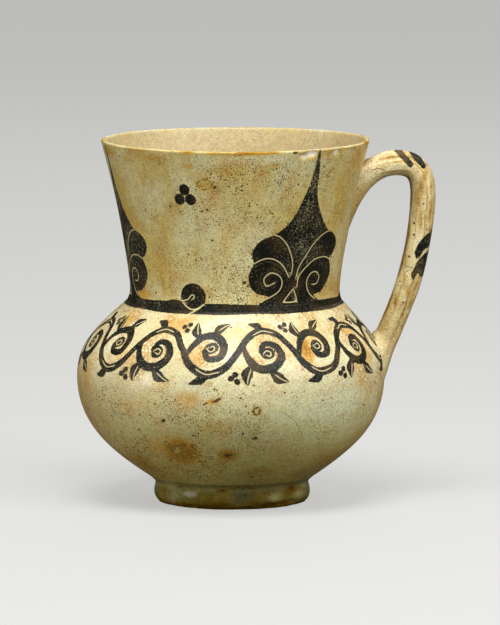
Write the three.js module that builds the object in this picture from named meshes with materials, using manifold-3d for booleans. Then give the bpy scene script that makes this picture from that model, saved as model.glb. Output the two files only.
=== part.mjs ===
// A hand-thrown earthenware ewer: disc foot, round belly, flared neck and one ribbed strap handle.
// Millimetres, +Z up. The origin is the centre of the flat foot, and the handle stands towards +X.
import * as THREE from 'three';
import { mergeVertices } from 'three/addons/utils/BufferGeometryUtils.js';
import Module from 'manifold-3d';

// Foot
const footHeight = 9.6;
const footRadius = 36.6; // widest, half way up
const footBaseRadius = 33.4; // the flat resting face
const footTopRadius = 35.2; // where the bowl stands

// Belly, thrown as a bowl and a shoulder that meet at its widest line
const bowlHeight = 49.1;
const bellyRadius = 73;
const bowlLean = 33; // degrees above level at which the bowl leaves the foot
const bowlStraight = 26; // length of the straighter stretch above the foot
const bowlRound = 23; // how far the bowl climbs upright to its widest line
const shoulderHeight = 35.1;
const shoulderRound = 15; // how far the shoulder climbs before it leans in
const shoulderLean = 1.14; // inward run for each millimetre of rise, at the neck
const shoulderStraight = 14; // rise of the straighter stretch below the neck
const bellyWall = 5.5;
const floorThickness = 7;
const floorCorner = 6; // rounding between the floor and the wall inside

// Neck
const neckHeight = 75.3;
const neckFootRadius = 50.5;
const neckWaistRadius = 49.3;
const neckWaistHeight = 4.2; // above the neck's own foot
const neckFlare = 1.35; // 1 is a straight cone, more flares late
const rimRadius = 63.2;
const neckWall = 5;
const lipThickness = 3.6;

// Strap handle
const strapWidth = 18;
const strapThickness = 11.4;
const strapSquareness = 2.6; // 2 is an ellipse, more is boxier
const ribPitch = 45; // degrees round the section from one finger rib to the next
const ribDepth = 0.8;
const upperRootDrop = 15.6; // strap centre below the rim
const upperRootRise = 25; // degrees above level at which the strap leaves the neck
const archLength = 18; // reach of the first half of the arch
const elbowDrop = 10; // outermost point below the upper root
const elbowReach = 26.3; // outermost strap centre beyond the rim
const elbowRound = 18.4; // height of the bend above the outermost point
const strapFall = 18; // upright fall below the outermost point
const lowerRootDrop = 21.4; // strap centre below the top of the shoulder
const lowerRootRise = 66; // degrees above level at which the strap leaves the shoulder
const lowerRootRun = 22; // straight run above the lower root

// Slip and coils of clay that tie the pieces together
const seam = 0.3; // layer of slip between two joined pieces
const footCoilSize = 2.6; // reach of the coil along the bowl and down the foot
const seamCoilReach = 5; // above and below an inside joint
const seamCoilDepth = 1.8;
const seamCoilEdge = 0.5;
const collarEdge = 0.8; // thickness where a collar ends on the strap
const upperCollarLength = 13; // along the strap
const upperCollarSide = 3; // spread on the wall beside the strap
const upperCollarOver = 0.8;
const upperCollarUnder = 21;
const lowerCollarLength = 8;
const lowerCollarSide = 3.5;
const lowerCollarOver = 2;
const lowerCollarUnder = 1.5;
const collarFlare = 3; // how late a collar spreads on its way to the wall

// Fineness of the facets
const turnFacets = 40;
const curveSteps = 8;
const coveSteps = 3;
const lipSteps = 4;
const floorSteps = 4;
const coilSteps = 4;
const strapSteps = 30;
const strapFacets = 32;
const collarSteps = 9;
const collarFacets = 24;

// Heights of the joints, from the foot up
const bowlBase = footHeight + seam;
const bellyJoint = bowlBase + bowlHeight;
const shoulderBase = bellyJoint + seam;
const shoulderTop = shoulderBase + shoulderHeight;
const neckBase = shoulderTop + seam;
const neckWaist = neckBase + neckWaistHeight;
const rimHeight = neckBase + neckHeight;
const lipBase = rimHeight - lipThickness / 2;
const floorLevel = bowlBase + floorThickness;

const wasm = await Module();
wasm.setup();

const radians = Math.PI / 180;
const point = (radius, height) => new THREE.Vector2(radius, height);
const towards = (angle) => point(Math.cos(angle * radians), Math.sin(angle * radians));

// A profile is a list of points that climbs from foot to lip
function radiusOn(profile, height) {
  const upper = Math.max(profile.findIndex((p) => p.y >= height), 1);
  const [low, high] = [profile[upper - 1], profile[upper]];
  return THREE.MathUtils.mapLinear(height, low.y, high.y, low.x, high.x);
}

// Moves a profile outwards by a distance, square to itself
function offsetProfile(profile, distance) {
  return profile.map((p, i) => {
    const before = profile[Math.max(i - 1, 0)];
    const after = profile[Math.min(i + 1, profile.length - 1)];
    const along = after.clone().sub(before).normalize();
    return point(p.x + along.y * distance, p.y - along.x * distance);
  });
}

// Turns an outline about the vessel's axis, from axis to axis or as a closed ring
function revolve(outline) {
  return new THREE.LatheGeometry(outline, turnFacets).rotateX(Math.PI / 2);
}

function revolveRing(outline) {
  return revolve([...outline, outline[0].clone()]);
}

// Skins a row of rings that follow one another and caps both ends
function loft(rings) {
  const count = rings[0].length;
  const middle = (ring) => ring.reduce((sum, p) => sum.add(p), new THREE.Vector3()).divideScalar(count);
  const vertices = [...rings.flat(), middle(rings[0]), middle(rings.at(-1))];
  const lastRow = (rings.length - 1) * count;
  const startCap = lastRow + count;
  const corners = [];
  for (let i = 0; i < count; i += 1) {
    const next = (i + 1) % count;
    corners.push(startCap, next, i);
    corners.push(startCap + 1, lastRow + i, lastRow + next);
    for (let row = 0; row < lastRow; row += count) {
      corners.push(row + i, row + next, row + count + next);
      corners.push(row + i, row + count + next, row + count + i);
    }
  }
  return new THREE.BufferGeometry().setFromPoints(vertices).setIndex(corners);
}

function toSolid(geometry) {
  const bare = geometry.clone();
  bare.deleteAttribute('normal');
  bare.deleteAttribute('uv');
  const merged = mergeVertices(bare);
  const index = Array.from(merged.index.array);
  const corners = [];
  for (let i = 0; i < index.length; i += 3) {
    const triangle = index.slice(i, i + 3);
    if (new Set(triangle).size === 3) corners.push(...triangle);
  }
  return new wasm.Manifold(new wasm.Mesh({
    numProp: 3,
    vertProperties: new Float32Array(merged.attributes.position.array),
    triVerts: new Uint32Array(corners),
  }));
}

function toGeometry(solid) {
  const mesh = solid.getMesh();
  const geometry = new THREE.BufferGeometry();
  geometry.setAttribute('position', new THREE.BufferAttribute(mesh.vertProperties, 3));
  geometry.setIndex(new THREE.BufferAttribute(mesh.triVerts, 1));
  geometry.computeVertexNormals();
  return geometry;
}

function cut(geometry, ...tools) {
  return toGeometry(tools.reduce((solid, tool) => solid.subtract(tool), toSolid(geometry)));
}

// Outer profiles, each from its lower joint to its upper one
function footProfile() {
  const bulge = (8 * footRadius - footBaseRadius - footTopRadius) / 6;
  return new THREE.CubicBezierCurve(
    point(footBaseRadius, 0),
    point(bulge, footHeight / 8),
    point(bulge, footHeight * 3 / 4),
    point(footTopRadius, footHeight),
  ).getPoints(curveSteps);
}

function bowlProfile() {
  const base = point(footTopRadius, bowlBase);
  return new THREE.CubicBezierCurve(
    base,
    base.clone().addScaledVector(towards(bowlLean), bowlStraight),
    point(bellyRadius, bellyJoint - bowlRound),
    point(bellyRadius, bellyJoint),
  ).getPoints(curveSteps);
}

function shoulderProfile() {
  return new THREE.CubicBezierCurve(
    point(bellyRadius, shoulderBase),
    point(bellyRadius, shoulderBase + shoulderRound),
    point(neckFootRadius + shoulderLean * shoulderStraight, shoulderTop - shoulderStraight),
    point(neckFootRadius, shoulderTop),
  ).getPoints(curveSteps);
}

// The neck draws in to its waist, then flares to the lip
function neckRadiusAt(height) {
  if (height < neckWaist) {
    const below = (neckWaist - height) / neckWaistHeight;
    return neckWaistRadius + (neckFootRadius - neckWaistRadius) * below ** 2;
  }
  const above = (height - neckWaist) / (rimHeight - neckWaist);
  return neckWaistRadius + (rimRadius - neckWaistRadius) * above ** neckFlare;
}

function neckProfile() {
  const heights = [];
  for (let i = 0; i < coveSteps; i += 1) {
    heights.push(neckBase + neckWaistHeight * i / coveSteps);
  }
  for (let i = 0; i <= curveSteps; i += 1) {
    heights.push(neckWaist + (lipBase - neckWaist) * i / curveSteps);
  }
  return heights.map((height) => point(neckRadiusAt(height), height));
}

const footOuter = footProfile();
const bowlOuter = bowlProfile();
const shoulderOuter = shoulderProfile();
const neckOuter = neckProfile();

// Inner profiles: the bowl's wall stops where the floor's corner starts
const bowlInner = offsetProfile(bowlOuter, -bellyWall).filter((p) => p.y > floorLevel + floorCorner);
bowlInner.at(-1).set(bellyRadius - bellyWall, bellyJoint);

const shoulderInner = offsetProfile(shoulderOuter, -bellyWall);
shoulderInner[0].set(bellyRadius - bellyWall, shoulderBase);
shoulderInner.push(point(neckFootRadius - neckWall, shoulderTop));

const neckInner = neckOuter.map((p) => {
  const wall = THREE.MathUtils.mapLinear(p.y, neckBase, lipBase, neckWall, lipThickness);
  return point(p.x - wall, p.y);
});

// The filled outside of the bowl, shoulder and neck with its coat of slip, which shapes what is stuck on it
const vesselOuter = offsetProfile([...bowlOuter, ...shoulderOuter, ...neckOuter], seam);
const vessel = toSolid(revolve([
  point(0, vesselOuter[0].y),
  ...vesselOuter,
  point(0, vesselOuter.at(-1).y),
]));

function footDisc() {
  return revolve([point(0, 0), ...footOuter, point(0, footHeight)]);
}

function lowerBowl() {
  const [side, above] = bowlInner;
  const slope = (above.x - side.x) / (above.y - side.y);
  const corner = point(side.x - slope * (side.y - floorLevel), floorLevel);
  const flat = point(corner.x - floorCorner, floorLevel);
  const bend = new THREE.QuadraticBezierCurve(side, corner, flat).getPoints(floorSteps).slice(1);
  const inside = [...bowlInner].reverse();
  return revolve([point(0, bowlBase), ...bowlOuter, ...inside, ...bend, point(0, floorLevel)]);
}

function shoulderShell() {
  return revolveRing([...shoulderOuter, ...[...shoulderInner].reverse()]);
}

function neckTube() {
  const half = lipThickness / 2;
  const lip = new THREE.EllipseCurve(neckOuter.at(-1).x - half, lipBase, half, half, 0, Math.PI);
  const over = lip.getPoints(lipSteps).slice(1, -1);
  return revolveRing([...neckOuter, ...over, ...[...neckInner].reverse()]);
}

// The coil in the crease under the bowl, hollowed by a wet finger
function footCoil() {
  const underside = bowlOuter[1].clone().sub(bowlOuter[0]).setLength(footCoilSize);
  const upper = bowlOuter[0].clone().add(underside).add(point(seam, -seam));
  const lowerHeight = footHeight - footCoilSize;
  const lower = point(radiusOn(footOuter, lowerHeight) + seam * 2, lowerHeight);
  const crease = point(footTopRadius, footHeight);
  const hollow = crease.clone().lerp(lower.clone().add(upper).multiplyScalar(0.5), 0.75);
  const face = new THREE.QuadraticBezierCurve(lower, hollow, upper).getPoints(coilSteps);
  const behind = point(footTopRadius - footCoilSize, footHeight);
  const slipped = [...offsetProfile(footOuter, seam), point(footTopRadius, footHeight + seam)];
  const disc = revolve([point(0, 0), ...slipped, point(0, footHeight + seam)]);
  return cut(revolveRing([behind, ...face]), toSolid(disc), vessel);
}

// A coil smeared over an inside joint, thick at the joint and thin at both edges
function seamCoil(inner, joint) {
  const bends = inner.map((p) => p.y).filter((height) => Math.abs(height - joint) < seamCoilReach);
  const steps = Array.from({ length: coilSteps + 1 }, (_, i) => (2 * i / coilSteps - 1) * seamCoilReach);
  const heights = [...new Set([...bends, ...steps.map((step) => joint + step)])].sort((a, b) => a - b);
  const back = heights.map((height) => point(radiusOn(inner, height) - seam, height));
  const face = back.map((p) => {
    const share = (p.y - joint) / seamCoilReach;
    return point(p.x - THREE.MathUtils.lerp(seamCoilDepth, seamCoilEdge, share * share), p.y);
  });
  return revolveRing([...back, ...face.reverse()]);
}

// The strap's centre line runs from inside the neck's wall over the arch and down into the shoulder's wall
const upperRoot = point(neckRadiusAt(rimHeight - upperRootDrop), rimHeight - upperRootDrop);
const lowerRoot = point(radiusOn(shoulderOuter, shoulderTop - lowerRootDrop), shoulderTop - lowerRootDrop);
const elbow = point(rimRadius + elbowReach, upperRoot.y - elbowDrop);
const upperWay = towards(upperRootRise);
const lowerWay = towards(lowerRootRise);
const along = (start, way, distance) => start.clone().addScaledVector(way, distance);

const strapPath = new THREE.CurvePath();
strapPath.add(new THREE.LineCurve(along(upperRoot, upperWay, -strapWidth), upperRoot));
strapPath.add(new THREE.CubicBezierCurve(
  upperRoot,
  along(upperRoot, upperWay, archLength),
  point(elbow.x, elbow.y + elbowRound),
  elbow,
));
strapPath.add(new THREE.CubicBezierCurve(
  elbow,
  point(elbow.x, elbow.y - strapFall),
  along(lowerRoot, lowerWay, lowerRootRun),
  lowerRoot,
));
strapPath.add(new THREE.LineCurve(lowerRoot, along(lowerRoot, lowerWay, -strapWidth)));
const strapLength = strapPath.getLength();

const squared = (value) => Math.sign(value) * Math.abs(value) ** (2 / strapSquareness);

// A ring of points round a centre, its width along Y and its height along a direction in the handle's plane
function ring(centre, up, facets, outline) {
  return Array.from({ length: facets }, (_, i) => {
    const angle = (i / facets) * 2 * Math.PI;
    const { across, rise } = outline(angle);
    return new THREE.Vector3(centre.x + up.x * rise, across, centre.y + up.y * rise);
  });
}

// The strap's section is a rounded oblong with finger ribs pulled along its outer half
function strapSection(grow) {
  return (angle) => {
    const across = (strapWidth / 2 + grow) * squared(Math.cos(angle));
    const rise = (strapThickness / 2 + grow) * squared(Math.sin(angle));
    const outer = THREE.MathUtils.smoothstep(Math.sin(angle), -0.35, 0.15);
    const groove = (1 - Math.cos((angle - Math.PI / 2) * 360 / ribPitch)) / 2;
    const shrink = 1 - ribDepth * outer * groove / Math.hypot(across, rise);
    return { across: across * shrink, rise: rise * shrink };
  };
}

function strapLoft(grow) {
  const rings = [];
  for (let i = 0; i <= strapSteps; i += 1) {
    const centre = strapPath.getPointAt(i / strapSteps);
    const way = strapPath.getTangentAt(i / strapSteps);
    rings.push(ring(centre, point(-way.y, way.x), strapFacets, strapSection(grow)));
  }
  return loft(rings);
}

function handleStrap() {
  return cut(strapLoft(0), vessel);
}

// A collar lies in slices parallel to the wall and spreads as it nears it, furthest under the strap
function rootCollar(root, wallUp, startsAtNeck, size) {
  const outward = point(wallUp.y, -wallUp.x);
  const rings = [];
  for (let i = -2; i <= collarSteps; i += 1) {
    const run = (i / collarSteps) * size.length;
    const share = (startsAtNeck ? strapWidth + run : strapLength - strapWidth - run) / strapLength;
    const centre = strapPath.getPointAt(share);
    const facing = Math.abs(strapPath.getTangentAt(share).dot(outward));
    const clear = centre.clone().sub(root).dot(outward);
    const spread = Math.max(1 - clear / size.length, 0) ** collarFlare;
    const half = strapThickness / 2 / facing + collarEdge;
    const outline = (angle) => ({
      across: (strapWidth / 2 + collarEdge + size.side * spread) * squared(Math.cos(angle)),
      rise: (half + (angle < Math.PI ? size.over : size.under) * spread) * squared(Math.sin(angle)),
    });
    rings.push(ring(centre, wallUp, collarFacets, outline));
  }
  return cut(loft(rings), toSolid(strapLoft(seam)), vessel);
}

function wallDirection(profile, height) {
  const step = 1;
  return point(radiusOn(profile, height + step) - radiusOn(profile, height - step), 2 * step).normalize();
}

function upperRootCoil() {
  return rootCollar(upperRoot, wallDirection(neckOuter, upperRoot.y), true, {
    length: upperCollarLength,
    side: upperCollarSide,
    over: upperCollarOver,
    under: upperCollarUnder,
  });
}

function lowerRootCoil() {
  return rootCollar(lowerRoot, wallDirection(shoulderOuter, lowerRoot.y), false, {
    length: lowerCollarLength,
    side: lowerCollarSide,
    over: lowerCollarOver,
    under: lowerCollarUnder,
  });
}

// Finishes: ivory glaze over slip, warmer where it runs thin, and bare buff clay inside the joints
const glaze = { color: 0xd9c995, roughness: 0.32 };
const finishes = {
  foot_disc: { color: 0xa8915c, roughness: 0.5 },
  foot_coil: { color: 0xa08a58, roughness: 0.5 },
  lower_bowl: glaze,
  belly_coil: { color: 0xcdb48c, roughness: 0.75 },
  shoulder: glaze,
  neck_coil: { color: 0xcdb48c, roughness: 0.75 },
  neck: glaze,
  handle_strap: { color: 0xd2c08a, roughness: 0.35 },
  upper_root_coil: { color: 0xd2c08a, roughness: 0.35 },
  lower_root_coil: { color: 0xd2c08a, roughness: 0.35 },
};

const solids = {
  foot_disc: footDisc(),
  foot_coil: footCoil(),
  lower_bowl: lowerBowl(),
  belly_coil: seamCoil([...bowlInner, ...shoulderInner], bellyJoint),
  shoulder: shoulderShell(),
  neck_coil: seamCoil([...shoulderInner, ...neckInner], shoulderTop),
  neck: neckTube(),
  handle_strap: handleStrap(),
  upper_root_coil: upperRootCoil(),
  lower_root_coil: lowerRootCoil(),
};

const ewer = new THREE.Group();
ewer.name = 'ewer';
for (const [name, geometry] of Object.entries(solids)) {
  const material = new THREE.MeshStandardMaterial({ metalness: 0, ...finishes[name] });
  const mesh = new THREE.Mesh(geometry, material);
  mesh.name = name;
  ewer.add(mesh);
}

export default ewer;
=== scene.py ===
# Looks of a hand-thrown ewer with painted slip under an old ivory glaze. Metres, +Z up, handle towards +X.
import math
import random

import bpy
import numpy as np
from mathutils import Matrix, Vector


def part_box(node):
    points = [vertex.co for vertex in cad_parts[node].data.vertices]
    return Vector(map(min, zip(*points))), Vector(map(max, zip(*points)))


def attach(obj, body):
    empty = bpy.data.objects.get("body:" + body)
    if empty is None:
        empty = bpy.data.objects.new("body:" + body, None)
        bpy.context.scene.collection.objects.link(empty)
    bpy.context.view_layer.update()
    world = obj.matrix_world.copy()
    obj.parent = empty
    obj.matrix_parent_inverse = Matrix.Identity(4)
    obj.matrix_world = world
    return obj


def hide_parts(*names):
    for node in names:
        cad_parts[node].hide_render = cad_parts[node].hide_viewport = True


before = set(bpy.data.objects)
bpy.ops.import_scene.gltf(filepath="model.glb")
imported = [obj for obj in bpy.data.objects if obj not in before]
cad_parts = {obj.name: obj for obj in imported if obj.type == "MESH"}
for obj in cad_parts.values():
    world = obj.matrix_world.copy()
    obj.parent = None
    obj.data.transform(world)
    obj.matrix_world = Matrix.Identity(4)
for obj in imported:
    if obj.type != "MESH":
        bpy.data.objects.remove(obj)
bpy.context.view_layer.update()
print("frame loaded:", len(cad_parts), "nodes")

mm = 0.001
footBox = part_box("foot_disc")
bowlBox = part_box("lower_bowl")
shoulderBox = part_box("shoulder")
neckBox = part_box("neck")
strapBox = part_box("handle_strap")
jointHeight = neckBox[0].z - 0.15 * mm  # middle of the seam between shoulder and neck
farOff = 9.0  # millimetres, for a place with no stroke or line near

# angle round the pot: 0 faces the viewer, 90 is the handle
handleCurl = 93  # the curl beside the handle
ornamentTurns = (33, 155, 278)  # palmettes, in degrees
betweenTurns = (-27, handleCurl, 213)  # curls on the neck band


# camera, light and floor

photoView = {
    "width": 500,  # pixels of the picture
    "height": 625,
    "azimuth": -3.0,
    "elevation": 6.7,
    "distance": 3.4,
    "pixel": 0.4680 * mm,  # size of one pixel at the pot
    "anchor": (0, 0, 85 * mm),
    "anchorPixel": (232.7, 319.6),
    "sensor": 36,
}


def wayTowards(azimuth, elevation):
    turn = math.radians(azimuth)
    lift = math.radians(elevation)
    return Vector((math.sin(turn) * math.cos(lift), -math.cos(turn) * math.cos(lift), math.sin(lift)))


def placeCamera(view):
    turn = math.radians(view["azimuth"])
    back = wayTowards(view["azimuth"], view["elevation"])
    right = Vector((math.cos(turn), math.sin(turn), 0))
    up = back.cross(right)
    aside = (view["width"] / 2 - view["anchorPixel"][0]) * view["pixel"]
    above = (view["anchorPixel"][1] - view["height"] / 2) * view["pixel"]
    aim = Vector(view["anchor"]) + right * aside + up * above
    bpy.ops.object.camera_add(location=aim + back * view["distance"])
    camera = bpy.context.object
    camera.name = "photoCamera"
    camera.rotation_euler = back.to_track_quat("Z", "Y").to_euler()
    camera.data.sensor_width = view["sensor"]
    camera.data.lens = view["sensor"] * view["distance"] / (view["height"] * view["pixel"])
    bpy.context.scene.camera = camera


studio = {
    "lamps": {  # degrees round from the viewer, degrees up, metres away, size, watts
        "keyBox": (-10, 66, 1.5, 0.8, 27.5),
        "rightBox": (48, 33, 1.7, 0.9, 18.5),
        "leftBox": (-68, 8, 1.7, 0.55, 10),
        "backBox": (170, 42, 1.9, 1.4, 9),
    },
    "worldColour": (0.88, 0.85, 0.80, 1),
    "worldFill": 0.12,
    "reflectedFill": 0.05,  # dark cloth round the set keeps the glaze from greying
    "floorColour": (0.20, 0.20, 0.195, 1),
    "floorGlow": (0.47, 0.47, 0.46, 1),  # evens the paper out where the lamps fall off
    "bounceColour": (0.12, 0.115, 0.10, 1),  # what the floor sends back to the pot
    "floorRoughness": 0.9,
    "floorGloss": 0.1,
    "floorSize": 14,
}


def addSoftbox(name, azimuth, elevation, distance, size, power):
    way = wayTowards(azimuth, elevation)
    bpy.ops.object.light_add(type="AREA", location=Vector(photoView["anchor"]) + way * distance)
    lamp = bpy.context.object
    lamp.name = name
    lamp.rotation_euler = way.to_track_quat("Z", "Y").to_euler()
    lamp.data.size = size
    lamp.data.energy = power


# node helpers

def addNode(tree, kind, inputs=None, **settings):
    node = tree.nodes.new("ShaderNode" + kind)
    for key, value in settings.items():
        setattr(node, key, value)
    for key, value in (inputs or {}).items():
        if isinstance(value, bpy.types.NodeSocket):
            tree.links.new(value, node.inputs[key])
        else:
            node.inputs[key].default_value = value
    return node


def maths(tree, operation, first, second=0.0, clamp=False):
    return addNode(tree, "Math", {0: first, 1: second}, operation=operation, use_clamp=clamp).outputs[0]


def times(tree, first, second):
    return maths(tree, "MULTIPLY", first, second)


def plus(tree, first, second, clamp=False):
    return maths(tree, "ADD", first, second, clamp)


def minus(tree, first, second, clamp=False):
    return maths(tree, "SUBTRACT", first, second, clamp)


def blend(tree, factor, first, second, mode="MIX"):
    node = addNode(tree, "Mix", {0: factor, 6: first, 7: second}, data_type="RGBA", blend_type=mode)
    return node.outputs[2]


def ease(tree, value, low, high, start=0.0, end=1.0):
    sockets = {"Value": value, "From Min": low, "From Max": high, "To Min": start, "To Max": end}
    return addNode(tree, "MapRange", sockets, interpolation_type="SMOOTHSTEP").outputs["Result"]


def attribute(tree, name):
    return addNode(tree, "Attribute", attribute_name=name).outputs["Fac"]


def objectSpot(tree, stretch=(1, 1, 1), shift=(0, 0, 0)):
    where = addNode(tree, "TexCoord").outputs["Object"]
    return addNode(tree, "Mapping", {"Vector": where, "Scale": stretch, "Location": shift}).outputs["Vector"]


def cloud(tree, vector, size, detail, roughness):
    sockets = {"Vector": vector, "Scale": 1 / size, "Detail": detail, "Roughness": roughness}
    return addNode(tree, "TexNoise", sockets).outputs["Fac"]


def patchy(tree, noise, levels, stretch=(1, 1, 1), shift=(0, 0, 0)):
    return ease(tree, cloud(tree, objectSpot(tree, stretch, shift), *noise), *levels)


def stray(tree, noise, reach):
    # noise that goes as far to one side as to the other
    return times(tree, minus(tree, cloud(tree, objectSpot(tree), *noise), 0.5), reach)


def startGroup(name, inputs, outputs):
    tree = bpy.data.node_groups.new(name, "ShaderNodeTree")
    for way, sockets in (("INPUT", inputs), ("OUTPUT", outputs)):
        for label, kind in sockets.items():
            tree.interface.new_socket(label, in_out=way, socket_type="NodeSocket" + kind)
    given = tree.nodes.new("NodeGroupInput").outputs
    result = tree.nodes.new("NodeGroupOutput").inputs
    return tree, given, result


def useGroup(tree, group, inputs):
    return addNode(tree, "Group", inputs, node_tree=group).outputs


def startMaterial(name):
    material = bpy.data.materials.new(name)
    material.use_nodes = True
    tree = material.node_tree
    shader = tree.nodes["Principled BSDF"]
    return material, tree, shader


def scaled(tree, colour, value):
    return addNode(tree, "VectorMath", {0: colour, "Scale": value}, operation="SCALE").outputs["Vector"]


# old glaze: cloudy ivory with iron specks, fine crazing and brown stains sunk into it; the stain and pale
# marks also carry painted shade and painted highlights

glazeInputs = {
    **dict.fromkeys(("Ivory", "Ochre", "Blush", "Flush", "Pale", "Stain"), "Color"),
    **dict.fromkeys(("Ochre Amount", "Blush Amount", "Streaks", "Crazing", "Scuffs"), "Float"),
}

glazeLook = {
    # a noise's size, detail and roughness, the levels it eases between and what they become, stretch, shift
    "clouds": ((24 * mm, 5, 0.55), (0.40, 0.60), (1, 1, 0.5)),
    "patches": ((11 * mm, 5, 0.62), (0.50, 0.66), (1, 1, 0.7), (0.3, 0.1, 0.2)),
    "pools": ((19 * mm, 4, 0.55), (0.50, 0.74, 0, 0.35), (1, 1, 1), (0.5, 0.8, 0.1)),
    "streaks": ((3.2 * mm, 4, 0.6), (0.48, 0.72), (1, 1, 0.10), (0.2, 0.4, 0.6)),
    "rubbed": ((5 * mm, 4, 0.65), (0.3, 0.6, 0.4, 1)),
    "mottle": ((3.4 * mm, 4, 0.62), (0.28, 0.72, 0.90, 1.07)),
    "grain": ((0.65 * mm, 2, 0.7), (0.28, 0.72, 0.73, 1.20)),
    "crazed": ((14 * mm, 4, 0.55), (0.44, 0.62), (1, 1, 1), (0.7, 0.2, 0.4)),
    "dirty": ((24 * mm, 3, 0.55), (0.42, 0.66), (1, 1, 1), (0.9, 0.3, 0.5)),
    "grime": ((2.6 * mm, 6, 0.75), (0.53, 0.66)),
    "crowd": ((15 * mm, 4, 0.55), (0.40, 0.60, 0.12, 1), (1, 1, 1), (0.1, 0.6, 0.9)),
    "broken": ((2.0 * mm, 4, 0.7), (0.30, 0.60, 0.6, 1)),
    "jagged": ((1.4 * mm, 4, 0.55), (0.3, 0.6, 0.55, 1)),
    "rough": ((9 * mm, 3, 0.55), (0.3, 0.7, 0.28, 0.44)),
    "ripple": (2.4 * mm, 4, 0.6),
    # a noise as above, and how far it strays
    "bitten": ((0.6 * mm, 2, 0.55), 0.6),
    "crackStray": ((1.5 * mm, 4, 0.55), 0.9),
    # the last strays the edge of the brown, partly painted shade, low on the belly
    "brownShadeStray": ((20 * mm, 5, 0.6), 40 * mm),
    "crazeSize": 1.9 * mm,
    "crazeLine": (0.02, 0.17, 1, 0),
    "crazeHiding": 2.5,  # how soon the specks hide the crazing
    "specks": ((0.56 * mm, 0.95), (1.2 * mm, 0.12)),  # cell, and what share of the cells may hold a speck
    "speckReach": (0.24, 0.56),
    "speckEdge": (0, 0.12),
    "speckRust": (0.30, 0.85),
    "spotEdge": (0.15, 0.55),
    "spotDepth": 0.92,
    "chipEdge": (0.3, 0.6),
    "crackEdge": (0.06, 0.26, 0.85, 0),
    "dirtRough": 0.12,
    "slipRough": 0.22,
    "chipRough": 0.35,
    "rippleHeight": 0.8,
    "pitHeight": -0.35,
    "crackHeight": 1.5,
    "bumpStrength": 0.5,
    "bumpHeight": 0.22 * mm,
    "ior": 1.5,
    "scuffColour": (0.27, 0.15, 0.045, 1),
    "poolColour": (0.80, 0.78, 0.52, 1),
    "speckColour": (0.105, 0.064, 0.004, 1),
    "rustColour": (0.22, 0.115, 0.030, 1),
    "crazeColour": (0.50, 0.25, 0.055, 1),
    "deepColour": (0.50, 0.42, 0.34, 1),  # tints a stain again where it is deepest
    "spotColour": (0.066, 0.034, 0.004, 1),
    "crackColour": (0.050, 0.030, 0.012, 1),
    "chipColour": (0.86, 0.76, 0.62, 1),
}


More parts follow.
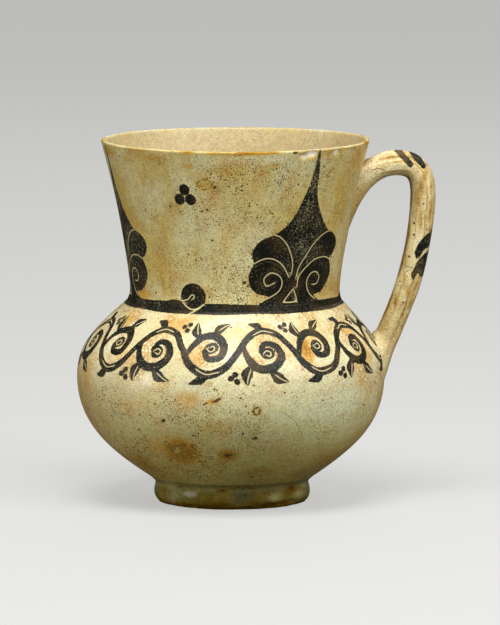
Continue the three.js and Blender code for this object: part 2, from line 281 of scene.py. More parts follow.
def makeGlazeGroup():
    look = glazeLook
    tree, given, result = startGroup(
        "agedGlaze", glazeInputs, {"Color": "Color", "Roughness": "Float", "Height": "Float"})
    here = objectSpot(tree)

    # clouds of ivory and ochre, blushes of orange, paler pools, thin runs
    layers = (("clouds", given["Ochre Amount"], given["Ochre"]),
              ("patches", given["Blush Amount"], given["Blush"]),
              ("pools", 1.0, look["poolColour"]),
              ("streaks", given["Streaks"], given["Blush"]))
    colour = given["Ivory"]
    for name, amount, tint in layers:
        colour = blend(tree, times(tree, patchy(tree, *look[name]), amount), colour, tint)
    colour = blend(tree, attribute(tree, "flush"), colour, given["Flush"])
    # the pale mark: rubbed glaze, and on the neck and belly also painted highlights and a painted sheen
    rubbed = times(tree, attribute(tree, "pale"), patchy(tree, *look["rubbed"]))
    colour = blend(tree, rubbed, colour, given["Pale"])
    for name in ("mottle", "grain"):
        colour = scaled(tree, colour, patchy(tree, *look[name]))

    # crazing: a net of hairlines that shows more in some places
    net = addNode(tree, "TexVoronoi", {"Vector": here, "Scale": 1 / look["crazeSize"]},
                  feature="DISTANCE_TO_EDGE").outputs["Distance"]
    bare = minus(tree, 1.0, times(tree, attribute(tree, "speck"), look["crazeHiding"]), clamp=True)
    shown = times(tree, times(tree, patchy(tree, *look["crazed"]), bare), given["Crazing"])
    crazed = times(tree, ease(tree, net, *look["crazeLine"]), shown)
    colour = blend(tree, crazed, colour, look["crazeColour"])

    # rubbed-in dirt
    dirt = times(tree, patchy(tree, *look["dirty"]), patchy(tree, *look["grime"]))
    scuffs = times(tree, dirt, given["Scuffs"])
    colour = blend(tree, scuffs, colour, look["scuffColour"])

    # iron specks in two sizes, crowded in some places
    wanted = times(tree, patchy(tree, *look["crowd"]), attribute(tree, "speck"))
    bitten = stray(tree, *look["bitten"])
    specks = 0.0
    for size, share in look["specks"]:
        cells = addNode(tree, "TexVoronoi", {"Vector": here, "Scale": 1 / size}).outputs
        chance = addNode(tree, "SeparateColor", {"Color": cells["Color"]}).outputs
        held = maths(tree, "LESS_THAN", chance["Red"], times(tree, wanted, share))
        reach = plus(tree, ease(tree, chance["Green"], 0, 1, *look["speckReach"]), bitten)
        inside = minus(tree, times(tree, reach, held), cells["Distance"])
        layer = ease(tree, inside, *look["speckEdge"])
        rusty = ease(tree, chance["Blue"], *look["speckRust"])
        colour = blend(tree, layer, colour, blend(tree, rusty, look["speckColour"], look["rustColour"]))
        specks = maths(tree, "MAXIMUM", specks, layer)

    # stains and spots, with some painted shade among the stains, sit where the marks put them
    broken = patchy(tree, *look["broken"])
    stainAndShade = times(tree, attribute(tree, "stain"), broken)
    stain = maths(tree, "MINIMUM", stainAndShade, 1.0)
    colour = blend(tree, stain, colour, given["Stain"], "MULTIPLY")
    deep = minus(tree, stainAndShade, 1.0, clamp=True)
    colour = blend(tree, deep, colour, look["deepColour"], "MULTIPLY")
    spot = ease(tree, times(tree, attribute(tree, "spot"), broken), *look["spotEdge"])
    colour = blend(tree, times(tree, spot, look["spotDepth"]), colour, look["spotColour"])
    tree.links.new(colour, result["Color"])

    dull = times(tree, plus(tree, stain, scuffs), look["dirtRough"])
    tree.links.new(plus(tree, patchy(tree, *look["rough"]), dull), result["Roughness"])
    ripple = times(tree, cloud(tree, here, *look["ripple"]), look["rippleHeight"])
    pits = times(tree, plus(tree, specks, crazed), look["pitHeight"])
    tree.links.new(plus(tree, ripple, pits), result["Height"])
    return tree


# painted slip: near black, brown where it is thin, rubbed and flecked, with lines scratched through it

slipLook = {
    "blackColour": (0.0055, 0.0058, 0.0030, 1),
    "brownColour": (0.100, 0.056, 0.014, 1),
    "fleckColour": (0.140, 0.134, 0.084, 1),
    "scratchColour": (0.66, 0.56, 0.28, 1),
    "scratchEdge": (0.14, 0.42, 1, 0),  # millimetres each side of the line
    "scratchDepth": 0.86,
    "scratchStray": 0.20,
    "ragged": ((0.9 * mm, 4, 0.7), 1.2),
    "edge": (-0.12, 0.16),
    "thin": ((8 * mm, 4, 0.55), (0.44, 0.70), (1, 1, 1), (0.4, 0.7, 0.3)),
    "worn": ((9 * mm, 4, 0.55), (0.36, 0.64, 0.55, 1), (1, 1, 1), (0.6, 0.1, 0.8)),
    "grit": (0.75 * mm, 3, 0.6),
    "gritLevel": 0.66,
    "gritWear": 0.15,
    "fleckEdge": (-0.02, 0.08),
    "fleckDepth": 0.85,
    "lostEdge": (0.11, 0.16),
    "lostDepth": 0.8,
    "coatHeight": 0.5,
}


def makeSlipGroup():
    look = slipLook
    tree, given, result = startGroup(
        "slipPaint", {"Ground": "Color", "Thinness": "Float"},
        {"Color": "Color", "Mask": "Float", "Height": "Float"})
    ragged = stray(tree, *look["ragged"])
    # the mark holds millimetres inside the stroke
    mask = ease(tree, plus(tree, attribute(tree, "slip"), ragged), *look["edge"])

    thin = times(tree, patchy(tree, *look["thin"]), given["Thinness"])
    thin = plus(tree, thin, attribute(tree, "thin"), clamp=True)
    colour = blend(tree, thin, look["blackColour"], look["brownColour"])
    worn = times(tree, patchy(tree, *look["worn"]), attribute(tree, "wear"))
    level = minus(tree, look["gritLevel"], times(tree, worn, look["gritWear"]))
    grit = minus(tree, cloud(tree, objectSpot(tree), *look["grit"]), level)
    flecks = times(tree, ease(tree, grit, *look["fleckEdge"]), look["fleckDepth"])
    colour = blend(tree, flecks, colour, look["fleckColour"])
    # where it is rubbed most, the ground shows
    lost = times(tree, ease(tree, grit, *look["lostEdge"]), worn)
    mask = times(tree, mask, minus(tree, 1.0, times(tree, lost, look["lostDepth"])))

    line = plus(tree, attribute(tree, "scratch"), times(tree, ragged, look["scratchStray"]))
    scratched = times(tree, ease(tree, maths(tree, "ABSOLUTE", line), *look["scratchEdge"]), mask)
    colour = blend(tree, times(tree, scratched, look["scratchDepth"]), colour, look["scratchColour"])

    tree.links.new(blend(tree, mask, given["Ground"], colour), result["Color"])
    tree.links.new(minus(tree, mask, scratched), result["Mask"])
    tree.links.new(minus(tree, times(tree, mask, look["coatHeight"]), scratched), result["Height"])
    return tree


glazeGroup = makeGlazeGroup()
slipGroup = makeSlipGroup()


def keyOf(label):
    return label[0].lower() + label[1:].replace(" ", "")


def makeGlazeMaterial(name, look):
    material, tree, shader = startMaterial(name)
    glaze = useGroup(tree, glazeGroup, {label: look[keyOf(label)] for label in glazeInputs})
    ground = glaze["Color"]
    # browner and darker towards the foot: partly brown staining low on the pot, partly painted shade on the
    # lower belly
    if "brownShadeTop" in look:
        height = addNode(tree, "SeparateXYZ", {"Vector": objectSpot(tree)}).outputs["Z"]
        height = plus(tree, height, stray(tree, *glazeLook["brownShadeStray"]))
        low = ease(tree, height, look["brownShadeFoot"], look["brownShadeTop"], 1, 0)
        ground = blend(tree, low, ground, look["brown"], "MULTIPLY")
    slip = useGroup(tree, slipGroup, {"Ground": ground, "Thinness": look["thinness"]})
    chip = times(tree, attribute(tree, "chip"), patchy(tree, *glazeLook["jagged"]))
    chip = ease(tree, chip, *glazeLook["chipEdge"])
    colour = blend(tree, chip, slip["Color"], glazeLook["chipColour"])
    split = plus(tree, attribute(tree, "crack"), stray(tree, *glazeLook["crackStray"]))
    crack = ease(tree, maths(tree, "ABSOLUTE", split), *glazeLook["crackEdge"])
    colour = blend(tree, crack, colour, glazeLook["crackColour"])
    tree.links.new(colour, shader.inputs["Base Color"])
    rough = plus(tree, glaze["Roughness"], times(tree, slip["Mask"], glazeLook["slipRough"]))
    rough = plus(tree, rough, times(tree, chip, glazeLook["chipRough"]), clamp=True)
    tree.links.new(minus(tree, rough, look["polish"]), shader.inputs["Roughness"])
    relief = plus(tree, glaze["Height"], slip["Height"])
    relief = minus(tree, relief, times(tree, crack, glazeLook["crackHeight"]))
    bump = {"Height": relief, "Strength": glazeLook["bumpStrength"], "Distance": glazeLook["bumpHeight"]}
    tree.links.new(addNode(tree, "Bump", bump).outputs["Normal"], shader.inputs["Normal"])
    shader.inputs["IOR"].default_value = glazeLook["ior"]
    shader.inputs["Specular IOR Level"].default_value = look["gloss"]
    return material


# shaping helpers

shaping = {
    "mergeGap": 0.01 * mm,
    "cornerGap": 0.02 * mm,
    "smoothAngle": 50,
    "levels": 2,  # subdivision of the thrown pieces
}


def deselectAll():
    if bpy.context.object and bpy.context.object.mode != "OBJECT":
        bpy.ops.object.mode_set(mode="OBJECT")
    bpy.ops.object.select_all(action="DESELECT")


def selectOpenEdges():
    bpy.ops.mesh.select_all(action="DESELECT")
    bpy.ops.mesh.select_non_manifold(extend=False, use_wire=False, use_boundary=True,
                                     use_multi_face=False, use_non_contiguous=False, use_verts=False)


def startRing(name, sides, radius, height):
    deselectAll()
    bpy.ops.mesh.primitive_circle_add(vertices=sides, radius=radius, location=(0, 0, height))
    piece = bpy.context.object
    piece.name = name
    bpy.ops.object.transform_apply(location=True, rotation=False, scale=False)
    bpy.ops.object.mode_set(mode="EDIT")
    bpy.ops.mesh.select_mode(type="EDGE")
    bpy.ops.mesh.select_all(action="SELECT")
    return piece


def throwOnWheel(name, profile, sides):
    # a ring pulled up and round the profile; an end on the axis becomes a pole, else the ends are joined
    rings = [p for p in profile if p[0] > 0]
    piece = startRing(name, sides, *rings[0])
    if profile[0][0] == 0:
        bpy.ops.mesh.edge_face_add()
        bpy.ops.mesh.poke()
        selectOpenEdges()
    for (radius, height), (nextRadius, nextHeight) in zip(rings, rings[1:]):
        bpy.ops.mesh.extrude_edges_move(TRANSFORM_OT_translate={"value": (0, 0, nextHeight - height)})
        grow = nextRadius / radius
        bpy.ops.transform.resize(value=(grow, grow, 1), center_override=(0, 0, nextHeight))
    if profile[-1][0] == 0:
        bpy.ops.mesh.edge_face_add()
        bpy.ops.mesh.poke()
    else:
        selectOpenEdges()
        bpy.ops.mesh.bridge_edge_loops()
    bpy.ops.mesh.select_all(action="SELECT")
    bpy.ops.mesh.remove_doubles(threshold=shaping["mergeGap"])
    bpy.ops.mesh.normals_make_consistent(inside=False)
    return piece


def onRing(point, radius, height):
    gap = shaping["cornerGap"]
    return abs(math.hypot(point.x, point.y) - radius) < gap and abs(point.z - height) < gap


def creaseRings(piece, corners):
    # keeps a corner of the profile crisp under the subdivision
    bpy.ops.mesh.select_all(action="DESELECT")
    bpy.ops.object.mode_set(mode="OBJECT")
    vertices = piece.data.vertices
    for edge in piece.data.edges:
        ends = [vertices[i].co for i in edge.vertices]
        for radius, height in corners:
            if all(onRing(p, radius, height) for p in ends):
                edge.select = True
    bpy.ops.object.mode_set(mode="EDIT")
    bpy.ops.transform.edge_crease(value=1)


def refine(piece, levels):
    bpy.ops.object.mode_set(mode="OBJECT")
    bpy.context.view_layer.objects.active = piece
    smooth = piece.modifiers.new("refine", "SUBSURF")
    smooth.levels = levels
    smooth.render_levels = levels
    bpy.ops.object.modifier_apply(modifier=smooth.name)


def readPoints(piece):
    points = np.empty(len(piece.data.vertices) * 3)
    piece.data.vertices.foreach_get("co", points)
    return points.reshape(-1, 3)


def writePoints(piece, points):
    piece.data.vertices.foreach_set("co", points.ravel())
    piece.data.update()


def writeMark(piece, name, values):
    layer = piece.data.attributes.get(name) or piece.data.attributes.new(name, "FLOAT", "POINT")
    layer.data.foreach_set("value", np.asarray(values, dtype=np.float32))


def smoothstep(low, high, value):
    share = np.clip((value - low) / (high - low), 0, 1)
    return share * share * (3 - 2 * share)


def hump(value, middle, width):
    return np.exp(-((value - middle) / width) ** 2)


def waves(turn, parts):
    return sum(reach * np.sin(count * turn + phase) for reach, count, phase in parts)


def axisDistance(points):
    return np.hypot(points[:, 0], points[:, 1])


def turnOf(points):
    # radians round the pot from the viewer's side
    return np.arctan2(points[:, 0], -points[:, 1])


def lengthAlong(path):
    return np.concatenate([[0], np.cumsum(np.hypot(*np.diff(path, axis=0).T))])


def slant(degrees):
    return np.array([math.cos(math.radians(degrees)), math.sin(math.radians(degrees))])


def bezier(a, b, c, d, count):
    t = np.linspace(0, 1, count)[:, None]
    a, b, c, d = (np.array(p) for p in (a, b, c, d))
    return (1 - t) ** 3 * a + 3 * (1 - t) ** 2 * t * b + 3 * (1 - t) * t ** 2 * c + t ** 3 * d


# nothing thrown by hand is quite round: the same lean and swell bends every piece, so the joints still meet

handThrow = {
    "drift": -0.85 * mm,  # the belly sits a little away from the handle
    "driftHeight": 48 * mm,
    "driftReach": 45 * mm,
    "oval": 0.0030,  # share of the radius
    "threeSided": 0.0015,
    "wallRadius": 66 * mm,  # the handle moves with the wall it stands on
    "rimWave": 0.12 * mm,  # the rim stands a little higher at the sides
    "neckShift": 1.2 * mm,  # the neck was set on a little towards the handle
    "ripple": 0.10 * mm,
    "rippleSize": 24 * mm,
    "ringPitch": 6.5 * mm,
    "ringDepth": 0.012 * mm,
    "standing": (0.02, 0.25),  # shares of the height over which each bend sets in
    "neckFrom": (0.45, 0.60),
    "rimFrom": (0.7, 1),
    "rippleFrom": (0, 0.06),
    "ripples": 6,
    "seed": 4,
}


def bendByHand(piece):
    hand = handThrow
    points = readPoints(piece)
    x, y, z = points.T
    turn = turnOf(points)
    rise = z / neckBox[1].z
    stand = smoothstep(*hand["standing"], rise)
    oval = hand["oval"] * (np.sin(2 * turn + 0.7 + 1.4 * rise) - 1) * stand
    sides = hand["threeSided"] * (np.sin(3 * turn - 0.4 + 2.0 * rise) - 1) * stand
    rings = hand["ringDepth"] * (np.sin(z / hand["ringPitch"] * 2 * math.pi + turn) - 1) * stand
    radius = np.maximum(np.hypot(x, y), 1 * mm)
    grow = 1 + ((oval + sides) * np.minimum(radius, hand["wallRadius"]) + rings) / radius
    x = x * grow + hand["drift"] * hump(z, hand["driftHeight"], hand["driftReach"])
    x = x + hand["neckShift"] * smoothstep(*hand["neckFrom"], rise)
    y = y * grow
    z = z - hand["rimWave"] * (np.cos(2 * turn) + 1) * smoothstep(*hand["rimFrom"], rise)
    bent = np.stack([x, y, z], axis=1)
    rng = np.random.default_rng(hand["seed"])
    for ripple in range(hand["ripples"]):
        way = rng.normal(size=3) / hand["rippleSize"] * 2
        push = rng.normal(size=3) * hand["ripple"] / 2
        push[2] *= 0.5
        swing = np.sin(points @ way + rng.uniform(0, 6.28))[:, None] * push
        bent += swing * smoothstep(*hand["rippleFrom"], rise)[:, None]
    writePoints(piece, bent)


# drawing helpers: shapes are in millimetres, across and up from their own centre

def drawCurve(points, steps=6, closed=False):
    points = np.array(points, float)
    ends = (points[-1:], points[:2]) if closed else (points[:1], points[-1:])
    padded = np.concatenate([ends[0], points, ends[1]])
    curve = []
    for a, b, c, d in zip(padded, padded[1:], padded[2:], padded[3:]):
        for t in np.arange(steps) / steps:
            curve.append(0.5 * (2 * b + (c - a) * t + (2 * a - 5 * b + 4 * c - d) * t ** 2
                                + (3 * b - a - 3 * c + d) * t ** 3))
    curve.append(points[0] if closed else points[-1])
    return np.array(curve)


def segmentDistance(spots, a, b):
    along = b - a
    share = np.clip(((spots - a) @ along) / max(along @ along, 1e-9), 0, 1)
    return np.hypot(*(spots - a - share[:, None] * along).T), share


def shapeDepth(spots, outline):
    # how far inside a closed outline each spot lies, negative outside
    least = np.full(len(spots), 1e3)
    inside = np.zeros(len(spots), bool)
    for a, b in zip(outline, np.roll(outline, -1, axis=0)):
        least = np.minimum(least, segmentDistance(spots, a, b)[0])
        crosses = (a[1] > spots[:, 1]) != (b[1] > spots[:, 1])
        rise = b[1] - a[1] if abs(b[1] - a[1]) > 1e-9 else 1e-9
        inside ^= crosses & (spots[:, 0] < (b[0] - a[0]) * (spots[:, 1] - a[1]) / rise + a[0])
    return np.where(inside, least, -least)


def strokeDepth(spots, path, widths):
    # a brush stroke whose half width changes along its path
    depth = np.full(len(spots), -1e3)
    halves = np.interp(np.linspace(0, 1, len(path)), np.linspace(0, 1, len(widths)), widths)
    for i in range(len(path) - 1):
        gap, share = segmentDistance(spots, path[i], path[i + 1])
        depth = np.maximum(depth, halves[i] + (halves[i + 1] - halves[i]) * share - gap)
    return depth


def lineOffset(spots, path):
    # how far to the left or right of a line each spot lies; further off than a millimetre it counts for more
    least = np.full(len(spots), 1e3)
    offset = np.full(len(spots), 1e3)
    for a, b in zip(path, path[1:]):
        gap = segmentDistance(spots, a, b)[0]
        left = (b[0] - a[0]) * (spots[:, 1] - a[1]) - (b[1] - a[1]) * (spots[:, 0] - a[0])
        reach = gap + 9 * np.maximum(gap - 1, 0)
        offset = np.where(gap < least, np.where(left < 0, -reach, reach), offset)
        least = np.minimum(least, gap)
    return offset


def near(spots, shape, margin):
    low = shape.min(axis=0) - margin
    high = shape.max(axis=0) + margin
    return np.nonzero(np.all((spots > low) & (spots < high), axis=1))[0]


def paintOver(depth, spots, shape, margin, measure, *widths):
    # only the spots near a shape are measured
    close = near(spots, shape, margin)
    if len(close):
        depth[close] = np.maximum(depth[close], measure(spots[close], shape, *widths))


def lifted(path, height):
    return [(x, y + height) for x, y in path]


def facing(points, centre):
    # degrees round the pot from a centre line
    return (np.degrees(turnOf(points)) - centre + 180) % 360 - 180


def sideways(points, most, centre, width):
    # strongest on one side of the pot, fading to nothing round it
    return most * hump(facing(points, centre), 0, width)


def wallSpots(points, centre):
    # millimetres across from a centre line and up from the table
    across = np.radians(facing(points, centre)) * axisDistance(points) / mm
    return np.stack([across, points[:, 2] / mm], axis=1)


def awayFrom(points, turn, height, wide, high):
    spots = wallSpots(points, turn)
    return np.hypot(spots[:, 0] / wide, (spots[:, 1] - height) / high)


def deepest(points, marks, power=2):
    # marks that fade out over their size: degrees round, millimetres up, half width, half height, depth
    layer = np.zeros(len(points))
    for *place, depth in marks:
        layer = np.maximum(layer, depth * np.exp(-awayFrom(points, *place) ** power))
    return layer


def ringMark(points, turn, height, wide, high, width):
    return hump(awayFrom(points, turn, height, wide, high), 1, width)


def scratchOver(marks, spots, path):
    close = near(spots, path, 2)
    if len(close):
        offset = lineOffset(spots[close], path)
        marks[close] = np.where(np.abs(offset) < np.abs(marks[close]), offset, marks[close])


band = {
    "low": 93.2,  # millimetres
    "high": 97.8,
    "wander": ((0.16, 5, 1), (0.12, 11, 0)),  # reach, waves round the pot, phase
    "swell": 0.35,
    "swellLead": 1.1,
}


def bandDepth(points):
    # the painted ring that covers the joint of neck and shoulder
    turn = turnOf(points)
    height = points[:, 2] / mm
    wander = waves(turn, band["wander"])
    top = band["high"] + band["swell"] * np.cos(turn + band["swellLead"])
    return np.minimum(height - band["low"] - wander, top - wander - height)


def writeMarks(piece, marks):
    quiet = {"slip": -farOff, "scratch": farOff, "crack": farOff, "stain": 0, "spot": 0, "chip": 0,
             "flush": 0, "pale": 0, "speck": 0.3, "thin": 0, "wear": 0.9}
    count = len(piece.data.vertices)
    for name, value in quiet.items():
        writeMark(piece, name, marks.get(name, np.full(count, float(value))))


def finishPiece(piece, nodes, look):
    deselectAll()
    piece.select_set(True)
    bpy.context.view_layer.objects.active = piece
    bpy.ops.object.shade_smooth_by_angle(angle=math.radians(shaping["smoothAngle"]))
    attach(piece, "root")
    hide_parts(*nodes)
    piece.data.materials.append(makeGlazeMaterial(piece.name + "Glaze", look))
    print(piece.name + ":", len(piece.data.polygons), "faces")


# neck

neck = {
    "sides": 128,
    "footRadius": 50.5 * mm,
    "waistRadius": 49.3 * mm,
    "waistHeight": 4.2 * mm,
    "flare": 1.35,
    "rimSpread": 0.6 * mm,
    "wall": 5.0 * mm,
    "lip": 2.3 * mm,
    "lipEdge": 0.75 * mm,
    "lipRound": 0.3,  # share of the edge
    "rimDrop": 0.08 * mm,
    "rimInset": 0.1 * mm,
    "face": 2 * mm,  # how deep the outer face is taken to reach
    "outerRings": 25,
    "innerRings": 8,
    "palmetteFoot": 94.5,  # millimetres
    "stains": [  # degrees round, millimetres up, half width, half height, depth
        (-13, 150, 8, 14, 0.4), (-12, 114, 8, 14, 0.3), (-56, 140, 5, 14, 0.35), (25, 152, 5, 10, 0.3),
        (-17, 158, 6, 4, 0.6), (-9, 160, 8, 4, 0.4), (-54, 146, 7, 10, 0.35), (-47, 136, 6, 10, 0.3),
        (-8, 126, 5, 12, 0.5), (-46, 112, 4, 10, 0.5), (-1, 165.5, 12, 1.4, 0.7),
        (-16.6, 154.4, 2.6, 1.7, 1.0), (33, 167, 12, 2.6, 0.8), (-62, 100, 9, 4, 0.9),
        (72, 120, 5, 26, 0.4), (76, 104, 4, 8, 1.0), (-24, 163, 3, 1.2, 1.0), (-14, 161, 2.4, 0.9, 1.1),
        (9, 160, 2.6, 1.0, 0.9), (14, 163.5, 3.4, 1.4, 0.9), (-40, 166, 8, 1.6, 0.8),
        (-58, 164, 6, 2.4, 0.8), (52, 150, 5, 10, 0.4), (18, 128, 4, 6, 0.6), (-20, 104, 6, 3, 0.7),
        (50, 103, 6, 4, 0.9), (-33, 142, 6, 5, 0.5), (62, 160, 5, 6, 0.8), (120, 150, 9, 8, 0.6),
        (170, 120, 7, 14, 0.6), (-120, 140, 10, 9, 0.6), (-150, 110, 8, 6, 0.7), (64, 136, 13, 34, 0.35),
        (-68, 140, 9, 34, 0.5), (-75, 166, 9, 3, 1.2), (66, 165, 6, 3, 0.9),
    ],
    "pales": [
        # the first is a painted highlight in a band just under the rim
        (6, 166, 22, 2.0, 0.8), (-30, 130, 6, 18, 0.5), (-41, 147, 6, 9, 0.5), (6, 130, 6, 20, 0.35),
        (-31, 102, 6, 6, 0.5), (20, 112, 7, 8, 0.3), (140, 130, 14, 16, 0.35), (-140, 132, 14, 16, 0.35),
    ],
    "spots": [(-12.1, 153.2, 1.0, 0.7, 1), (23, 169, 1.4, 0.7, 1), (2, 108, 1.1, 0.8, 1),
              (4, 106.5, 0.9, 0.6, 1)],
    "chips": [(28, 167.2, 2.8, 1.2, 1), (31.5, 168.2, 3.0, 1.6, 1), (45.5, 167.8, 2.6, 2.2, 0.55)],
    "chipDepth": 0.9 * mm,
    "bubble": (-16.6, 154.4, 3.5, 2.3, 0.15),  # a burst one: place and half sizes, width of its edge
    "bubbleFill": [(-16.6, 154.4, 3.2, 2.1, 0.8)],
    "bubbleStain": 2.2,
    "bubbleSpot": 0.26,
    "wear": 0.50,
    "sideWear": (0.45, -58, 24),  # how much, degrees round, how wide
    "palmetteWear": (0.75, 2, 11),  # how much, degrees past the palmette, how wide
    "palmetteWearFrom": (108, 120),
    "speck": 0.24,
    "sideSpeck": (0.72, 15, 42),
    "innerSpeck": 0.06,
    "innerFlush": 0.85,
    "crest": (168.7, 169.1),  # millimetres up, where the rim is worn
    "crestFace": (-2.4, -1.6),
    "crestStain": 1.5,
    "crestWaves": ((0.55, 4, 1.7), (0.3, 11, 0), (0.2, 29, 1)),
    "rimLine": (168.55, 0.24),  # a brown line under the crest: middle and width
    "rimLineStain": 1.8,
    "look": {
        "ivory": (0.66, 0.615, 0.32, 1), "ochre": (0.60, 0.47, 0.14, 1), "ochreAmount": 0.95,
        "blush": (0.56, 0.34, 0.09, 1), "blushAmount": 0.60, "streaks": 0.30,
        "flush": (0.475, 0.37, 0.20, 1), "crazing": 0.10, "scuffs": 0.60,
        "pale": (0.76, 0.77, 0.54, 1), "stain": (0.86, 0.58, 0.17, 1),
        "thinness": 0.30, "polish": 0.0, "gloss": 0.12,
    },
}


def neckRadius(height):
    waist = neckBox[0].z + neck["waistHeight"]
    if height < waist:
        spread = neck["footRadius"] - neck["waistRadius"]
        return neck["waistRadius"] + spread * ((waist - height) / neck["waistHeight"]) ** 2
    share = (height - waist) / (neckBox[1].z - waist)
    rim = neckBox[1].y + neck["rimSpread"]
    return neck["waistRadius"] + (rim - neck["waistRadius"]) * share ** neck["flare"]


def neckProfile():
    low = jointHeight
    top = neckBox[1].z - neck["rimDrop"]
    edge = neck["lipEdge"]
    soft = edge * neck["lipRound"]
    outer = [(neckRadius(h), h) for h in np.linspace(low, top - edge, neck["outerRings"])]
    rim = neckRadius(top) - neck["rimInset"]
    lip = [(rim - soft, top - soft), (rim - edge, top), (rim - neck["lip"] + edge, top),
           (rim - neck["lip"] + soft, top - soft)]
    inner = []
    for h in np.linspace(top - edge * 2, low, neck["innerRings"]):
        share = (h - low) / (top - low)
        inner.append((neckRadius(h) - neck["wall"] + (neck["wall"] - neck["lip"]) * share, h))
    return outer + lip + inner


palmette = {
    # from the band up to the tip and down the other side, millimetres
    "outline": [
        (13, 2), (10, 6), (15, 7), (19, 10), (21.8, 14), (22, 18.5), (20.2, 22.3), (23, 24.4), (25, 27.5),
        (24.8, 31), (21.5, 34.2), (16.6, 36), (13, 39.4), (10.2, 43), (7.4, 48), (5.7, 53), (4.9, 58),
        (4.5, 65), (3.8, 72), (2.8, 76), (1.9, 72), (1.2, 65), (0.2, 60), (-1.5, 55), (-3.8, 49.5),
        (-6.7, 43.6), (-10, 39.6), (-14.4, 36.2), (-18.3, 34.7), (-21.9, 32.7), (-24.3, 29.5), (-24.9, 26.2),
        (-23.6, 22.4), (-25.1, 18.6), (-25.4, 14.8), (-23.9, 11), (-20.8, 8.2), (-15, 6.2), (-19, 2),
    ],
    "scratches": [
        [(-15.3, 35.7), (-12.1, 34.5), (-8.1, 30.5), (-5.4, 25.5), (-4.2, 21), (-4.5, 17)],
        [(-23.4, 22.4), (-19.9, 24.2), (-16, 24.6), (-12, 23.1), (-8.7, 20.2), (-5.9, 15.7)],
        [(-15.2, 6), (-10.4, 9), (-9, 13), (-10.9, 16.4), (-15.2, 17.8), (-18.2, 15), (-16.6, 11.8),
         (-13, 13)],
        [(18, 35.8), (13.5, 34.8), (7.8, 31.2), (2.9, 25), (-0.6, 19.8), (-1.8, 15)],
        [(20.2, 22.2), (15.5, 23.6), (9, 22.9), (3.5, 19.5), (-0.2, 15.4), (-0.8, 11)],
        [(10.6, 4.5), (7.2, 7), (5.1, 10.7), (5.2, 14), (7.5, 16.6), (10.8, 16.8), (13.2, 14.3), (11.8, 11.4),
         (9, 11)],
        [(-2.8, 9.9), (-5.6, 6.6), (-7.9, 3.8)],
        [(-2.8, 9.9), (-1.2, 6.6), (-0.2, 3.8)],
        [(-7.9, 3.8), (-4, 3.6), (-0.2, 3.8)],
    ],
}

curl = {
    # a rolled tendril standing on the band, millimetres from its centre
    "turn": 1.1,  # degrees past the line midway between two palmettes
    "height": 101.0,
    "radius": 6.3,
    "leaf": [(-17, -5), (-11, -3.9), (-4, -3.9)],
    "leafWidths": [0.3, 2.1, 1.9],
    "scratches": [
        [(-6, -2), (-2.8, -1.5), (-1.6, -0.2), (-0.4, 1), (0.8, 0), (-0.4, -1.3)],
        [(-5.2, -2.8), (-2.3, -4.9), (0.3, -5.8), (3.1, -5.1), (5.4, -3.3)],
        [(5.4, -3.3), (3.4, -5.4), (-0.9, -8)],
    ],
    "dots": [(0.6, 151.6), (-2.3, 146.9), (3.3, 147)],  # the three under the rim
    "dotRadius": 2.65,
}


def paintPalmettes(points, slip, scratch):
    outline = drawCurve(lifted(palmette["outline"], neck["palmetteFoot"]), 5, closed=True)
    for centre in ornamentTurns:
        spots = wallSpots(points, centre)
        paintOver(slip, spots, outline, 3, shapeDepth)
        for line in palmette["scratches"]:
            scratchOver(scratch, spots, drawCurve(lifted(line, neck["palmetteFoot"])))


def paintCurls(points, slip, scratch):
    middle = np.array([(0, curl["height"]), (0.1, curl["height"])])
    leaf = drawCurve(lifted(curl["leaf"], curl["height"]))
    for centre in betweenTurns:
        spots = wallSpots(points, centre + curl["turn"])
        paintOver(slip, spots, middle, 8, strokeDepth, [curl["radius"]] * 2)
        paintOver(slip, spots, leaf, 5, strokeDepth, curl["leafWidths"])
        for line in curl["scratches"]:
            scratchOver(scratch, spots, drawCurve(lifted(line, curl["height"])))
        if centre == handleCurl:
            continue  # the handle's root takes the place of the dots
        spots = wallSpots(points, centre)
        for dot in curl["dots"]:
            paintOver(slip, spots, np.array([dot, dot]), 5, strokeDepth, [curl["dotRadius"]] * 2)


